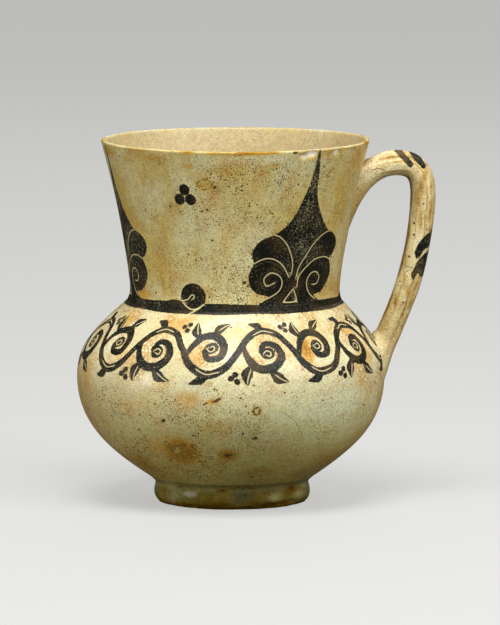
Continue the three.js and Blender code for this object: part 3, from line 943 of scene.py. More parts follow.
def paintNeck(piece, points):
    turn = turnOf(points)
    radius = axisDistance(points)
    wall = np.array([neckRadius(h) for h in points[:, 2]])
    proud = (radius - wall) / mm
    height = points[:, 2] / mm
    outside = radius > wall - neck["face"]
    slip = bandDepth(points)
    scratch = np.full(len(points), farOff)
    paintPalmettes(points, slip, scratch)
    paintCurls(points, slip, scratch)
    slip[~outside] = -farOff
    wear = neck["wear"] + sideways(points, *neck["sideWear"])
    most, past, width = neck["palmetteWear"]
    for centre in ornamentTurns:
        spots = wallSpots(points, centre + past)
        wear += most * hump(spots[:, 0], 0, width) * smoothstep(*neck["palmetteWearFrom"], spots[:, 1])

    # the glaze has worn off the crest of the rim, more in some places
    rubbed = 0.45 + waves(turn, neck["crestWaves"])
    crest = smoothstep(*neck["crest"], height) * smoothstep(*neck["crestFace"], proud)
    line = hump(height, *neck["rimLine"]) * np.clip(0.7 + 0.6 * np.sin(7 * turn + 2), 0.25, 1)
    bubble = ringMark(points, *neck["bubble"])
    stain = np.maximum.reduce([
        neck["crestStain"] * crest * np.clip(2.2 * rubbed - 1.3, 0.05, 1),
        neck["rimLineStain"] * line,
        deepest(points, neck["stains"]),
        neck["bubbleStain"] * bubble,
        deepest(points, neck["bubbleFill"], 6),
    ])
    spot = np.maximum(deepest(points, neck["spots"]), neck["bubbleSpot"] * bubble)
    chip = deepest(points, neck["chips"], 4) * outside
    speck = np.where(outside, neck["speck"] + sideways(points, *neck["sideSpeck"]), neck["innerSpeck"])
    # the pale marks include the painted highlight under the rim
    writeMarks(piece, {
        "slip": slip, "scratch": scratch, "stain": stain * outside, "spot": spot * outside, "chip": chip,
        "flush": neck["innerFlush"] * smoothstep(-1.5, -2.5, proud), "speck": speck * (1 - crest),
        "pale": deepest(points, neck["pales"]) * outside, "wear": wear,
    })
    return chip


def makeNeck():
    profile = neckProfile()
    piece = throwOnWheel("glazedNeck", profile, neck["sides"])
    creaseRings(piece, [profile[0], profile[-1]])
    refine(piece, shaping["levels"])
    points = readPoints(piece)
    chip = paintNeck(piece, points)
    outward = points[:, :2] / axisDistance(points)[:, None]
    points[:, :2] -= outward * (chip * neck["chipDepth"])[:, None]
    writePoints(piece, points)
    bendByHand(piece)
    finishPiece(piece, ["neck", "neck_coil"], neck["look"])


# belly

belly = {
    "sides": 128,
    "bowlLean": 33,  # degrees above level where the bowl leaves the foot
    "bowlStraight": 26 * mm,
    "bowlRound": 23 * mm,
    "bowlBaseRadius": 35.2 * mm,
    "slack": 0.5 * mm,  # room inside the drawn size for the lean of the belly
    "shoulderRound": 15 * mm,
    "shoulderLean": 1.02,
    "shoulderStraight": 14 * mm,
    "wall": 5.5 * mm,
    "floor": 7 * mm,
    "stains": [  # degrees round, millimetres up, half width, half height, depth
        (-26.5, 31, 13, 9, 0.55), (-4.2, 29.2, 4.4, 3.2, 1.7), (-9.6, 55.6, 3.4, 1.3, 1.2),
        (28, 78, 3.6, 6, 1.8), (7.2, 40.5, 1.2, 2.4, 0.8), (4, 81, 10, 7, 0.35), (-17, 76, 7, 5, 0.8),
        (59, 83, 6, 5, 0.9), (9, 87, 6, 3, 0.5), (33, 82, 8, 6, 0.6), (-64, 88, 6, 4, 1.0),
        (-9, 44, 8, 3, 0.5), (60, 72, 8, 5, 0.7), (-40, 70, 7, 5, 0.5), (-18, 57, 6, 3, 0.8),
        (-30, 89, 9, 4, 0.7), (-72, 62, 6, 8, 0.7), (-55, 22, 10, 5, 0.7), (12, 20, 9, 3, 0.6),
        # the broad patch low on the right, at 62 degrees, is painted shade
        (86, 44, 18, 26, 1.0), (62, 22, 18, 11, 0.8), (-84, 46, 12, 22, 0.6), (125, 44, 8, 6, 0.9),
        (190, 60, 7, 5, 0.8), (-130, 35, 9, 6, 0.9), (165, 88, 8, 4, 0.7),
    ],
    "spots": [
        (-8.7, 55.9, 1.7, 1.0, 0.9), (-7.3, 56.9, 1.1, 0.7, 0.9), (-11.9, 54.6, 1.2, 0.6, 0.7),
        (-4.2, 29.2, 2.1, 1.2, 0.7), (6.8, 37.7, 1.5, 1.0, 0.95), (-39.5, 47.6, 0.9, 1.0, 0.6),
        (-29.4, 45.4, 1.1, 0.75, 1.3), (6.6, 51.0, 0.5, 0.5, 0.6), (-27.4, 31.6, 0.6, 0.6, 0.9),
        (-20, 22, 1.2, 0.8, 0.4), (-12, 27, 1.2, 0.8, 0.4), (-42, 40, 0.9, 0.7, 0.7),
        (24, 40, 0.8, 0.6, 0.6), (150, 50, 1.2, 0.8, 0.7),
    ],
    "burn": [(-25.2, 30.6, 9.8, 7.2, 1.6)],  # a large brown blotch with a paler middle
    "burnMiddle": [(-26.8, 31, 2.6, 2.6, 0.8)],
    "rings": [(-26.8, 31, 2.5, 0.42), (-26.2, 30.9, 4.6, 0.20), (6.6, 51.0, 1.75, 0.62)],  # place, size, dark
    "ringStain": 1.7,
    # a painted sheen, paler where the light falls on the right of the belly
    "pools": [(32, 46, 34, 15, 0.80)],
    # the first pale is a painted highlight at the top of the shoulder
    "pales": [(20.1, 88.6, 5, 3, 0.6), (-16, 60, 9, 4, 0.45)],
    "hairline": [(20.2, 50.5), (26.6, 45.6), (31.2, 37)],
    "hairlineThin": 1.6,
    # darker and browner low on the left: partly a flush of colour, partly painted shade
    "flushes": [(0.60, -78, 24, 72, 50), (0.55, -55, 30, 46, 20)],  # how much, degrees round, width, from, to
    "innerFlush": 0.30,
    "innerPale": 0.25,
    "speck": 0.06,
    "outerSpeck": 0.16,
    "sideSpeck": (0.80, -40, 46),
    "speckFrom": (66, 52),
    "wear": 0.70,
    "face": 2 * mm,
    "pole": 5 * mm,
    "fineRings": 60,  # for reading the wall closely
    "bowlRings": 16,
    "shoulderRings": 17,
    "innerRings": 5,
    "look": {
        "ivory": (0.73, 0.68, 0.42, 1), "ochre": (0.66, 0.55, 0.27, 1), "ochreAmount": 0.60,
        "blush": (0.72, 0.47, 0.18, 1), "blushAmount": 0.65, "streaks": 0.0,
        "flush": (0.48, 0.31, 0.10, 1), "crazing": 1.1, "scuffs": 0.45,
        "pale": (0.74, 0.79, 0.62, 1), "stain": (0.86, 0.58, 0.17, 1),
        # browner from the foot up to brownShadeTop: partly staining, partly painted shade on the lower belly
        "brown": (0.99, 0.95, 0.50, 1), "brownShadeFoot": 12 * mm, "brownShadeTop": 78 * mm,
        "thinness": 0.55, "polish": 0.08, "gloss": 0.28,
    },
}


def bellyWall(bowlCount, shoulderCount):
    base = np.array((belly["bowlBaseRadius"], bowlBox[0].z))
    wide = bowlBox[1].y - belly["slack"]
    middle = (bowlBox[1].z + shoulderBox[0].z) / 2
    top = np.array((neck["footRadius"], jointHeight))
    rise = slant(belly["bowlLean"]) * belly["bowlStraight"]
    drop = np.array((belly["shoulderLean"], -1)) * belly["shoulderStraight"]
    bowl = bezier(base, base + rise, (wide, middle - belly["bowlRound"]), (wide, middle), bowlCount)
    shoulder = bezier((wide, middle), (wide, middle + belly["shoulderRound"]), top + drop, top, shoulderCount)
    return np.concatenate([bowl, shoulder[1:]])


def fineWall():
    return bellyWall(belly["fineRings"], belly["fineRings"])


def bellyProfile():
    outer = bellyWall(belly["bowlRings"], belly["shoulderRings"])
    coarse = bellyWall(belly["innerRings"], belly["innerRings"])
    along = np.gradient(coarse, axis=0)
    along /= np.hypot(*along.T)[:, None]
    inner = coarse + np.stack([-along[:, 1], along[:, 0]], axis=1) * belly["wall"]
    base = bowlBox[0].z
    floor = base + belly["floor"]
    inner = [p for p in inner if floor + 3 * mm < p[1] < jointHeight - 2 * mm]
    inner = [(neck["footRadius"] - neck["wall"], jointHeight)] + inner[::-1]
    corner = inner[-1][0]
    bottom = [(corner - 5 * mm, floor + 0.4 * mm), (corner - 12 * mm, floor), (corner * 0.4, floor),
              (belly["pole"], floor)]
    under = [(0, base), (belly["pole"], base), (20 * mm, base)]
    return under + [tuple(p) for p in outer] + [tuple(p) for p in inner] + bottom + [(0, floor)]


scroll = {
    # a running vine on the shoulder; one bend of it, millimetres from the middle line
    "waves": 8,
    "seed": 11,
    "slack": 0.45,
    "dotSlack": 0.2,
    "radius": 66,
    "middle": 20.4,  # up the wall from the widest line
    "bend": 26,  # drawn width of one bend
    "stem": ([(0, 0), (4, 6.5), (9, 10.6), (14.5, 11.2), (20, 8.4), (23.6, 4)], (1.5, 1.9, 2.0, 1.6, 1.5)),
    "tendril": ([(1.8, 3.6), (4, -3.4), (9, -8.4), (15.6, -8), (19.4, -3), (17.6, 2.6), (12.6, 3.6),
                 (10.6, 0)], (0.9, 1.9, 2.2, 1.9, 1.6, 1.3)),
    "bud": ([(13.2, -1.4), (13.3, -1.4)], (3.0, 3.0)),
    "leaves": [
        ([(6.6, -7), (3.6, -11), (3.4, -16)], (0.8, 2.6, 0.3)),
        ([(14, -9.4), (16.6, -13), (21.6, -15.4)], (0.8, 2.6, 0.3)),
        ([(12, 11.6), (9.4, 14.4), (4.8, 15.6)], (0.8, 2.1, 0.3)),
    ],
    "dots": [(22.4, 13.2), (25.2, 14.6), (24.6, 11.2)],
    "dotRadius": 1.35,
    "scratches": [
        [(11.4, -1.2), (12.8, 0.2), (14.8, -0.8), (14.2, -2.8), (12.8, -2.2)],
        [(7.6, 9.2), (12, 11.3), (17, 10.2)],
        [(5, -9.6), (4, -12.6), (3.6, -15)],
        [(16, -12), (18.4, -13.8), (20.6, -15)],
    ],
}


def paintScroll(spots, around, slip, scratch):
    rng = random.Random(scroll["seed"])
    half = around / scroll["waves"] / 2

    for bend in range(2 * scroll["waves"]):
        flip = 1 if bend % 2 == 0 else -1

        def place(points, slack=scroll["slack"]):
            moved = [(x + rng.uniform(-slack, slack), y + rng.uniform(-slack, slack)) for x, y in points]
            return [((bend + x / scroll["bend"]) * half, scroll["middle"] + flip * y) for x, y in moved]

        stem = place(scroll["stem"][0])
        stem[0] = (bend * half, scroll["middle"])
        stem.append(((bend + 1) * half, scroll["middle"]))
        strokes = [(stem, scroll["stem"][1]), (place(scroll["tendril"][0]), scroll["tendril"][1])]
        strokes.append((place(scroll["bud"][0]), scroll["bud"][1]))
        strokes += [(place(path), widths) for path, widths in scroll["leaves"]]
        for dot in scroll["dots"]:
            strokes.append((place([dot, dot], scroll["dotSlack"]), [scroll["dotRadius"]] * 2))
        for shift in (-around, 0, around):
            for path, widths in strokes:
                paintOver(slip, spots, drawCurve(path, 5) + (shift, 0), 4, strokeDepth, widths)
            for path in scroll["scratches"]:
                scratchOver(scratch, spots, drawCurve(place(path, 0), 5) + (shift, 0))


def paintBelly(piece, points):
    wall = fineWall()
    height = points[:, 2] / mm
    outside = axisDistance(points) > np.interp(points[:, 2], wall[:, 1], wall[:, 0]) - belly["face"]
    slip = bandDepth(points)
    scratch = np.full(len(points), farOff)
    # the scroll is laid by the length of the wall, not by its height
    run = lengthAlong(wall) / mm
    climb = np.interp(height, wall[:, 1] / mm, run) - np.interp(bowlBox[1].z, wall[:, 1], run)
    around = 2 * math.pi * scroll["radius"]
    turn = np.degrees(turnOf(points))
    spots = np.stack([np.mod(turn + 180, 360) / 360 * around, climb], axis=1)
    paintScroll(spots, around, slip, scratch)
    # the last scratch of a curl runs down onto the shoulder
    path = drawCurve(lifted(curl["scratches"][-1], curl["height"]))
    for centre in betweenTurns:
        scratchOver(scratch, wallSpots(points, centre + curl["turn"]), path)
    slip[~outside] = -farOff

    stain = deepest(points, belly["burn"], 4) * (1 - deepest(points, belly["burnMiddle"], 6))
    # among the stains is painted shade low on the right
    stain = np.maximum(stain, deepest(points, belly["stains"], 3))
    spot = deepest(points, belly["spots"])
    for where, low, size, dark in belly["rings"]:
        ring = ringMark(points, where, low, size, 0.9 * size, 0.16 + 0.34 / size)
        stain = np.maximum(stain, belly["ringStain"] * ring)
        spot = np.maximum(spot, dark * ring)
    # the pool is a painted sheen and the first pale a painted highlight
    pale = np.maximum(deepest(points, belly["pools"], 3), deepest(points, belly["pales"]))
    crack = np.full(len(points), farOff)
    scratchOver(crack, wallSpots(points, 0), drawCurve(belly["hairline"], 8))
    # browner low on the left, partly a flush of colour and partly painted shade
    flush = np.zeros(len(points))
    for *side, start, end in belly["flushes"]:
        flush = np.maximum(flush, sideways(points, *side) * smoothstep(start, end, height))
    speck = belly["outerSpeck"] + sideways(points, *belly["sideSpeck"])
    speck = belly["speck"] + outside * smoothstep(*belly["speckFrom"], height) * speck
    writeMarks(piece, {
        "slip": slip, "scratch": scratch, "crack": np.where(outside, crack * belly["hairlineThin"], farOff),
        "stain": stain * outside, "spot": spot * outside,
        "flush": np.where(outside, flush, belly["innerFlush"]),
        "pale": np.where(outside, pale, belly["innerPale"]),
        "speck": speck, "wear": np.full(len(points), belly["wear"]),
    })


def makeBelly():
    piece = throwOnWheel("glazedBelly", bellyProfile(), belly["sides"])
    creaseRings(piece, [(neck["footRadius"], jointHeight), (neck["footRadius"] - neck["wall"], jointHeight),
                        (belly["bowlBaseRadius"], bowlBox[0].z)])
    refine(piece, shaping["levels"])
    paintBelly(piece, readPoints(piece))
    bendByHand(piece)
    finishPiece(piece, ["lower_bowl", "belly_coil", "shoulder"], belly["look"])


# foot

foot = {
    "sides": 128,
    "baseRadius": 34.6 * mm,
    "topRadius": 35.2 * mm,
    "rings": 8,
    "fillet": 5.5 * mm,  # how far the clay is drawn up onto the bowl
    "stains": [
        (-10.3, 2.5, 4, 2.4, 1.4), (-10, 9.1, 2.6, 1.0, 1.5), (47.6, 8.4, 5, 2.4, 1.5), (-62, 6, 6, 5, 1.0),
        (30, 2.2, 6, 1.2, 1.1), (14, 2.6, 3, 2.0, 1.4), (140, 6, 7, 3, 1.2), (-130, 5, 7, 3, 1.2),
    ],
    "pales": [(30, 5.4, 4, 2.2, 1), (57, 5.6, 6, 2.4, 1), (66, 9.4, 5, 2.4, 0.9), (-46, 7, 6, 3, 0.4)],
    "chips": [
        (26, 1.6, 5, 1.2, 1), (38, 2.0, 4, 1.3, 1), (47, 2.4, 2.5, 1.2, 1), (8, 1.0, 3, 0.7, 1),
        (-35, 1.2, 3, 0.8, 1), (120, 1.6, 6, 1.2, 1), (200, 1.4, 5, 1.1, 1),
    ],
    "spots": [(6.8, 7.2, 0.9, 1.3, 0.5), (47, 9, 2.2, 0.8, 0.7), (-9, 9.4, 2.2, 0.5, 0.6)],
    "wobble": ((1, 7, 1), (0.8, 13, 2), (0.7, 29, 0), (0.5, 53, 1)),  # depth, waves round, phase
    "worn": 0.16,
    "chipDepth": 0.7,  # millimetres
    "filletSteps": ((0.18, 0.40), (0.42, 0.26), (0.7, 0.10), (1, -0.10)),  # share of it, millimetres proud
    "lid": 0.8 * mm,  # how far the hidden top goes up into the bowl
    "pole": 6 * mm,
    "scarTurn": 5.5,
    "scarHeight": 6.9,
    "scarSize": (4.9, 3.3),
    "scarBorder": (5.2, 3.7),
    "scarEdge": 0.13,
    # the foot's colours are darker and browner than its glaze: painted shade under the overhang of the belly
    "look": {
        "ivory": (0.205, 0.172, 0.024, 1), "ochre": (0.16, 0.112, 0.013, 1), "ochreAmount": 0.8,
        "blush": (0.14, 0.075, 0.010, 1), "blushAmount": 0.6, "streaks": 0.10,
        "flush": (0.115, 0.098, 0.046, 1), "crazing": 0.15, "scuffs": 0.6,
        "pale": (0.36, 0.34, 0.13, 1), "stain": (0.80, 0.54, 0.17, 1),
        "thinness": 0.0, "polish": 0.22, "gloss": 0.13,
    },
}


def footProfile():
    high = footBox[1].z
    lid = high + foot["lid"]
    bulge = (8 * footBox[1].y - foot["baseRadius"] - foot["topRadius"]) / 6
    side = bezier((foot["baseRadius"], 0), (bulge, high / 8), (bulge, high * 3 / 4),
                  (foot["topRadius"], high), foot["rings"])
    wall = fineWall()
    run = lengthAlong(wall)
    fillet = []
    for share, proud in foot["filletSteps"]:
        radius, height = (np.interp(share * foot["fillet"], run, line) for line in wall.T)
        fillet.append((radius + proud * mm * 0.5, height - proud * mm))
    base = [(0, 0), (foot["pole"], 0), (24 * mm, 0), (foot["baseRadius"] - 1 * mm, 0)]
    inside = [(foot["topRadius"] - 3 * mm, lid), (20 * mm, lid), (foot["pole"], lid), (0, lid)]
    return base + [tuple(p) for p in side[:-1]] + fillet + inside


def makeFoot():
    piece = throwOnWheel("glazedFoot", footProfile(), foot["sides"])
    refine(piece, shaping["levels"])
    points = readPoints(piece)
    height = points[:, 2] / mm
    radius = axisDistance(points)
    rim = smoothstep(30, 33, radius / mm)
    # a worn, knocked lower edge
    wobble = waves(turnOf(points), foot["wobble"])
    low = smoothstep(4.5, 0.5, height) * rim
    chip = deepest(points, foot["chips"], 4)
    inset = (foot["worn"] * (wobble + 2.4) * low + foot["chipDepth"] * chip) * mm
    points[:, :2] *= (1 - inset / np.maximum(radius, 10 * mm))[:, None]
    writePoints(piece, points)
    # a grey patch where something once stuck to the glaze
    patch = wallSpots(points, foot["scarTurn"]) - (0, foot["scarHeight"])
    patch += 0.45 * np.sin(1.7 * patch[:, ::-1] + (1, 2.4))
    scar = np.exp(-np.sum(np.abs(patch / foot["scarSize"]) ** 6, axis=1))
    border = np.max(np.abs(patch) / foot["scarBorder"], axis=1)
    edge = hump(border, 1, foot["scarEdge"]) * (0.6 + 0.4 * np.sin(3 * patch[:, 0] + 1))
    stain = 1.6 * smoothstep(3.4, 0.8, height + 0.5 * wobble) * rim
    pale = 0.7 * smoothstep(7, 10, height) * rim
    writeMarks(piece, {
        "stain": np.maximum.reduce([stain, deepest(points, foot["stains"]), 1.5 * edge]),
        "spot": np.maximum(0.42 * edge, deepest(points, foot["spots"])),
        "pale": np.maximum(pale, deepest(points, foot["pales"], 3)),
        "chip": 0.34 * chip * rim, "flush": 0.9 * scar, "speck": 0.3 + 0.5 * scar + 0.4 * low,
    })
    bendByHand(piece)
    finishPiece(piece, ["foot_disc", "foot_coil"], foot["look"])


# handle

strap = {
    "sides": 64,
    "rings": 120,
    "levels": 1,
    "width": 18 * mm,
    "thickness": 11.6 * mm,
    "elbowInset": 0.8 * mm,  # room inside the drawn size for the set of the neck
    "archSwell": 0.3 * mm,  # thicker under the arch
    "archMiddle": 36 * mm,  # along the strap
    "archReach": 20 * mm,
    "squareness": 2.6,
    "ribPitch": 45,  # degrees from one finger rib to the next
    "ribDepth": 0.8 * mm,
    "upperDrop": 15.6 * mm,
    "upperRise": 22,
    "archLength": 18 * mm,
    "elbowDrop": 10 * mm,
    "elbowRound": 16.6 * mm,
    "fall": 25 * mm,
    "lowerDrop": 24.6 * mm,
    "lowerRise": 67.5,
    "lowerRun": 22 * mm,
    "pathSteps": 80,
    "rootReach": 40 * mm,
    "sunk": 2.24 * mm,  # how far the roots go into the walls
    "upperFlare": {"length": 13 * mm, "side": 3.0 * mm, "over": -2.8 * mm, "under": 20 * mm},
    "lowerFlare": {"length": 6.5 * mm, "side": 3.8 * mm, "over": 5.0 * mm, "under": 0 * mm},
    "strokes": [  # over the arch, millimetres in side view
        ([(73.5, 167.6), (78, 162.8), (82.2, 158.3)], (1.2, 1.5, 1.3)),
        ([(81.2, 166.8), (84.8, 162), (88.2, 157.6)], (1.3, 1.7, 1.3)),
    ],
    "leaves": [
        [(91.7, 126.8), (89.2, 125), (86.4, 122), (84.5, 118.2), (84.3, 116), (85.3, 114.1), (87.4, 116.2),
         (89.6, 118.8), (97, 121), (97, 130)],
        [(90, 117), (87.6, 115), (85.2, 112.4), (83.7, 109.5), (82.6, 107.4), (82.7, 105.2), (83.8, 104.3),
         (85.9, 107.4), (87.2, 105.4), (96, 106), (97, 119)],
    ],
    "stains": [  # brown patches in side view: across, up, half width, half height, depth
        (81.1, 98.9, 1.6, 3.2, 1.7), (75.9, 94, 1.2, 4.0, 1.6), (87.2, 147.2, 1.8, 4.5, 1.7),
        (88.6, 153, 1.5, 3, 1.7), (85.4, 143, 1.6, 5, 1.6), (72.7, 84, 1.0, 2.6, 1.5),
        (78.1, 83, 1.4, 3.0, 1.4), (86.8, 133, 1.2, 6, 1.5), (79.5, 104, 0.9, 5, 1.3),
        (67, 158, 3, 1.2, 1.0), (80, 117, 0.8, 6, 1.2),
    ],
    "cracks": [
        [(76.9, 112.5), (80.2, 110.6), (83.4, 109.9)],
        [(64.5, 156.2), (67, 156.6), (69.6, 155.8)],
    ],
    "spots": [(83.7, 130.8), (83.8, 125.4), (81.6, 115.1), (72, 92), (88, 140)],
    "spotSize": 0.3,
    "chips": 16,
    "chipDepth": 0.7,
    "chipBox": ((70, 80), (66, 80)),  # across and up in side view
    "chipSizes": (0.2, 0.6),
    "chipSeed": 5,
    "look": {
        "ivory": (0.82, 0.75, 0.44, 1), "ochre": (0.70, 0.58, 0.27, 1), "ochreAmount": 0.7,
        "blush": (0.56, 0.36, 0.15, 1), "blushAmount": 0.45, "streaks": 0.30,
        "flush": (0.74, 0.48, 0.26, 1), "crazing": 0.15, "scuffs": 0.80,
        "pale": (0.80, 0.77, 0.52, 1), "stain": (0.70, 0.52, 0.27, 1),
        "thinness": 0.75, "polish": 0.04, "gloss": 0.16,
    },
}


def strapPath(count):
    top = neckBox[1].z - strap["upperDrop"]
    low = shoulderBox[1].z - strap["lowerDrop"]
    wall = fineWall()
    upper = np.array([neckRadius(top), top])
    lower = np.array([np.interp(low, wall[:, 1], wall[:, 0]), low])
    upperWay = slant(strap["upperRise"])
    lowerWay = slant(strap["lowerRise"])
    elbowOut = strapBox[1].x - strap["elbowInset"] - strap["thickness"] / 2
    elbow = np.array([elbowOut, top - strap["elbowDrop"]])
    arch = bezier(upper, upper + upperWay * strap["archLength"], elbow + (0, strap["elbowRound"]), elbow,
                  strap["pathSteps"])
    fall = bezier(elbow, elbow - (0, strap["fall"]), lower + lowerWay * strap["lowerRun"], lower,
                  strap["pathSteps"])
    ends = [upper - upperWay * strap["sunk"]], [lower - lowerWay * strap["sunk"]]
    path = np.concatenate([ends[0], arch, fall[1:], ends[1]])
    run = lengthAlong(path)
    steps = np.linspace(0, run[-1], count)
    centres = np.stack([np.interp(steps, run, path[:, 0]), np.interp(steps, run, path[:, 1])], axis=1)
    ways = np.gradient(centres, axis=0)
    ways /= np.hypot(*ways.T)[:, None]
    return centres, ways, steps, upper, lower


def layOnWall(wall, at, side, clear):
    # spots laid on a thrown wall: along its profile, round the axis, and clear of it
    run = lengthAlong(wall)
    radius = np.interp(at, run, wall[:, 0])
    height = np.interp(at, run, wall[:, 1])
    ahead = np.interp(at + 0.5 * mm, run, wall[:, 0]) - radius
    lift = np.interp(at + 0.5 * mm, run, wall[:, 1]) - height
    length = np.hypot(ahead, lift)
    out = radius + clear * lift / length
    turn = side / radius
    return np.stack([out * np.cos(turn), out * np.sin(turn), height - clear * ahead / length], axis=1)


def rootOf(wall, spot, downward):
    # where a root meets a wall, the way its outer side points there, and the wall's outward way
    run = lengthAlong(wall)
    at = np.interp(spot[1], wall[:, 1], run)
    slope = np.interp(spot[1] + mm, wall[:, 1], wall[:, 0]) - np.interp(spot[1] - mm, wall[:, 1], wall[:, 0])
    way = np.array([slope, 2 * mm]) / math.hypot(slope, 2 * mm)
    out = np.array([way[1], -way[0]])
    return at, -way if downward else way, out


def strapRings():
    centres, ways, steps, upper, lower = strapPath(strap["rings"])
    neckWall = np.array([(neckRadius(h), h) for h in np.linspace(neckBox[0].z, neckBox[1].z, 90)])
    roots = [(neckWall, upper, False, strap["upperFlare"]), (fineWall(), lower, True, strap["lowerFlare"])]
    angles = np.arange(strap["sides"]) / strap["sides"] * 2 * math.pi
    power = 2 / strap["squareness"]
    cosine = np.sign(np.cos(angles)) * np.abs(np.cos(angles)) ** power
    sine = np.sign(np.sin(angles)) * np.abs(np.sin(angles)) ** power
    outerHalf = smoothstep(-0.35, 0.15, np.sin(angles))
    groove = (1 - np.cos((angles - math.pi / 2) * 360 / strap["ribPitch"])) / 2
    rings = []
    marks = []
    for centre, way, step in zip(centres, ways, steps):
        up = np.array([-way[1], way[0]])
        half = strap["width"] / 2
        over = strap["thickness"] / 2
        under = over + strap["archSwell"] * hump(step, strap["archMiddle"], strap["archReach"])
        hug = 0.0
        for wall, root, downward, flare in roots:
            at, wallWay, out = rootOf(wall, root, downward)
            clear = (centre - root) @ out
            share = np.clip(1 - clear / flare["length"], 0, 1.15)
            if share > 0 and np.hypot(*(centre - root)) < strap["rootReach"]:
                hug = float(smoothstep(0, 1, share))
                up = up * (1 - hug) + wallWay * hug
                up = up / np.hypot(*up)
                facingWay = abs(up[0] * way[1] - up[1] * way[0])
                over = over / facingWay + flare["over"] * share ** 3
                under = under / facingWay + flare["under"] * share ** 3
                half = half + flare["side"] * share ** 3
                laid = (wall, at, -1 if downward else 1, clear, (centre - root) @ wallWay)
        side = half * cosine
        rise = np.where(sine > 0, over, under) * sine
        shrink = 1 - strap["ribDepth"] * outerHalf * groove * (1 - 0.7 * hug) / np.hypot(side, rise)
        side = side * shrink
        rise = rise * shrink
        ring = np.stack([centre[0] + up[0] * rise, side, centre[1] + up[1] * rise], axis=1)
        if hug > 0:
            wall, at, sign, clear, slid = laid
            ring = ring * (1 - hug) + layOnWall(wall, at + sign * (rise + slid), side, clear) * hug
        rings.append(ring)
        marks.append(np.stack([side, rise, np.full(len(side), step)], axis=1) / mm)
    return np.concatenate(rings), np.concatenate(marks)


def dotMark(flat, x, z, size):
    return np.exp(-((flat[:, 0] - x) ** 2 + (flat[:, 1] - z) ** 2) / size)


def paintHandle(piece, points):
    flat = np.stack([points[:, 0], points[:, 2]], axis=1) / mm
    own = np.empty(len(points) * 3)
    piece.data.attributes["strapSpot"].data.foreach_get("vector", own)
    rise, along = own.reshape(-1, 3).T[1:]
    end = along.max()
    slip = np.full(len(points), -farOff)
    for path, widths in strap["strokes"]:
        slip = np.maximum(slip, strokeDepth(flat, drawCurve(path, 5), widths))
    for outline in strap["leaves"]:
        paintOver(slip, flat, drawCurve(outline, 4, closed=True), 3, shapeDepth)
    crack = np.full(len(points), farOff)
    for line in strap["cracks"]:
        scratchOver(crack, flat, drawCurve(line))
    crack[points[:, 1] > 0] = farOff
    # darker lines along the finger ribs and towards the outer edge, broken up along the strap, and a painted
    # shade along the inner edge
    wave = 0.5 + 0.5 * np.sin(along / 9) * np.sin(along / 23 + 1)
    broken = 0.55 + 0.45 * np.sin(along / 2.1 + 2 * np.sin(along / 5.3) + rise) * np.sin(along / 3.7 + 1)
    rise = rise + 0.35 * np.sin(along / 6.1) + 0.2 * np.sin(along / 2.7 + 1)
    stain = np.maximum.reduce([
        # painted shade along the inner edge of the strap
        2.0 * smoothstep(-4.9, -5.9, rise),
        1.7 * hump(rise, -3.0, 0.35) * wave,
        (1.4 + 1.0 * wave) * (0.5 + 0.5 * broken) * hump(rise, 1.3, 0.45),
        (1.2 + 1.2 * wave) * broken * hump(rise, 3.6, 0.8),
        0.9 * smoothstep(1.4, 3.0, rise) * (0.4 + wave) * broken,
    ])
    for x, z, wide, high, depth in strap["stains"]:
        away = ((flat[:, 0] - x) / wide) ** 2 + ((flat[:, 1] - z) / high) ** 2
        stain = np.maximum(stain, depth * np.exp(-away) * (0.5 + 0.7 * broken))
    # cleaner near the roots, with painted shade under the upper one and browner above the lower one
    stain = np.maximum.reduce([
        stain * smoothstep(4, 22, along) * smoothstep(end - 4, end - 26, along),
        0.9 * smoothstep(16, 3, along) * smoothstep(-2, -7, rise),
        0.55 * smoothstep(end - 42, end - 18, along) * (0.5 + 0.5 * broken),
    ])
    spot = np.zeros(len(points))
    for x, z in strap["spots"]:
        spot = np.maximum(spot, dotMark(flat, x, z, strap["spotSize"]))
    chip = np.zeros(len(points))
    rng = random.Random(strap["chipSeed"])
    for i in range(strap["chips"]):
        x, z = (rng.uniform(*span) for span in strap["chipBox"])
        chip = np.maximum(chip, strap["chipDepth"] * dotMark(flat, x, z, rng.uniform(*strap["chipSizes"])))
    writeMarks(piece, {
        "slip": slip, "crack": crack, "stain": stain, "spot": spot, "chip": chip,
        "flush": 0.6 * smoothstep(20, 4, along) * smoothstep(-4, 2, rise),
        "thin": 0.75 * smoothstep(150, 155, flat[:, 1]) * smoothstep(82, 79, flat[:, 0]),
    })


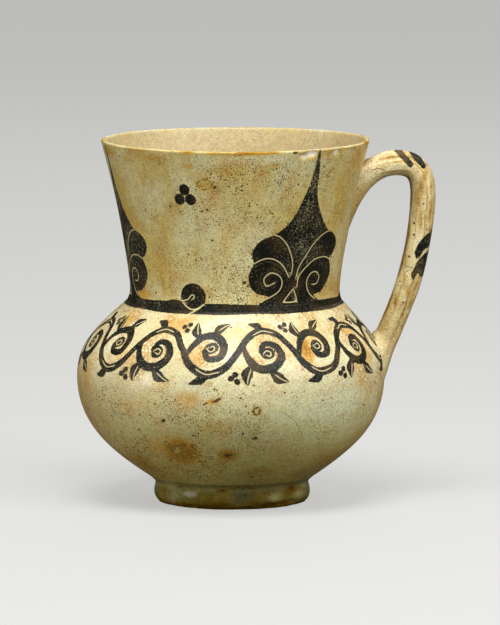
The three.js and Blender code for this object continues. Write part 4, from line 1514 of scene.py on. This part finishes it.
def makeHandle():
    ringPoints, marks = strapRings()
    piece = startRing("glazedHandle", strap["sides"], strap["width"] / 2, 0)
    for ring in range(strap["rings"] - 1):
        bpy.ops.mesh.extrude_edges_move(TRANSFORM_OT_translate={"value": (0, 0, mm)})
    bpy.ops.object.mode_set(mode="OBJECT")
    writePoints(piece, ringPoints)
    layer = piece.data.attributes.new("strapSpot", "FLOAT_VECTOR", "POINT")
    layer.data.foreach_set("vector", marks.ravel().astype(np.float32))
    bpy.ops.object.mode_set(mode="EDIT")
    selectOpenEdges()
    bpy.ops.mesh.edge_face_add()
    bpy.ops.mesh.select_all(action="SELECT")
    bpy.ops.mesh.normals_make_consistent(inside=False)
    refine(piece, strap["levels"])
    paintHandle(piece, readPoints(piece))
    bendByHand(piece)
    finishPiece(piece, ["handle_strap", "upper_root_coil", "lower_root_coil"], strap["look"])


# stage

def makeStage():
    deselectAll()
    bpy.ops.mesh.primitive_plane_add(size=studio["floorSize"])
    floor = bpy.context.object
    floor.name = "studioFloor"
    material, tree, shader = startMaterial("studioPaper")
    seen = addNode(tree, "LightPath").outputs["Is Camera Ray"]
    paper = blend(tree, seen, studio["bounceColour"], studio["floorColour"])
    tree.links.new(paper, shader.inputs["Base Color"])
    tree.links.new(blend(tree, seen, (0, 0, 0, 1), studio["floorGlow"]), shader.inputs["Emission Color"])
    shader.inputs["Emission Strength"].default_value = 1
    shader.inputs["Roughness"].default_value = studio["floorRoughness"]
    shader.inputs["Specular IOR Level"].default_value = studio["floorGloss"]
    floor.data.materials.append(material)

    world = bpy.data.worlds.new("studioWorld")
    bpy.context.scene.world = world
    world.use_nodes = True
    tree = world.node_tree
    ray = addNode(tree, "LightPath").outputs
    fill = [c * studio["worldFill"] for c in studio["worldColour"][:3]] + [1]
    cloth = [c * studio["reflectedFill"] for c in studio["worldColour"][:3]] + [1]
    around = blend(tree, ray["Is Glossy Ray"], fill, cloth)
    around = blend(tree, ray["Is Camera Ray"], around, studio["floorGlow"])
    tree.links.new(around, tree.nodes["Background"].inputs["Color"])
    for name, lamp in studio["lamps"].items():
        addSoftbox(name, *lamp)
    bpy.context.scene.view_settings.view_transform = "Standard"


placeCamera(photoView)
makeStage()
print("camera, light and floor placed")
makeNeck()
makeBelly()
makeFoot()
makeHandle()
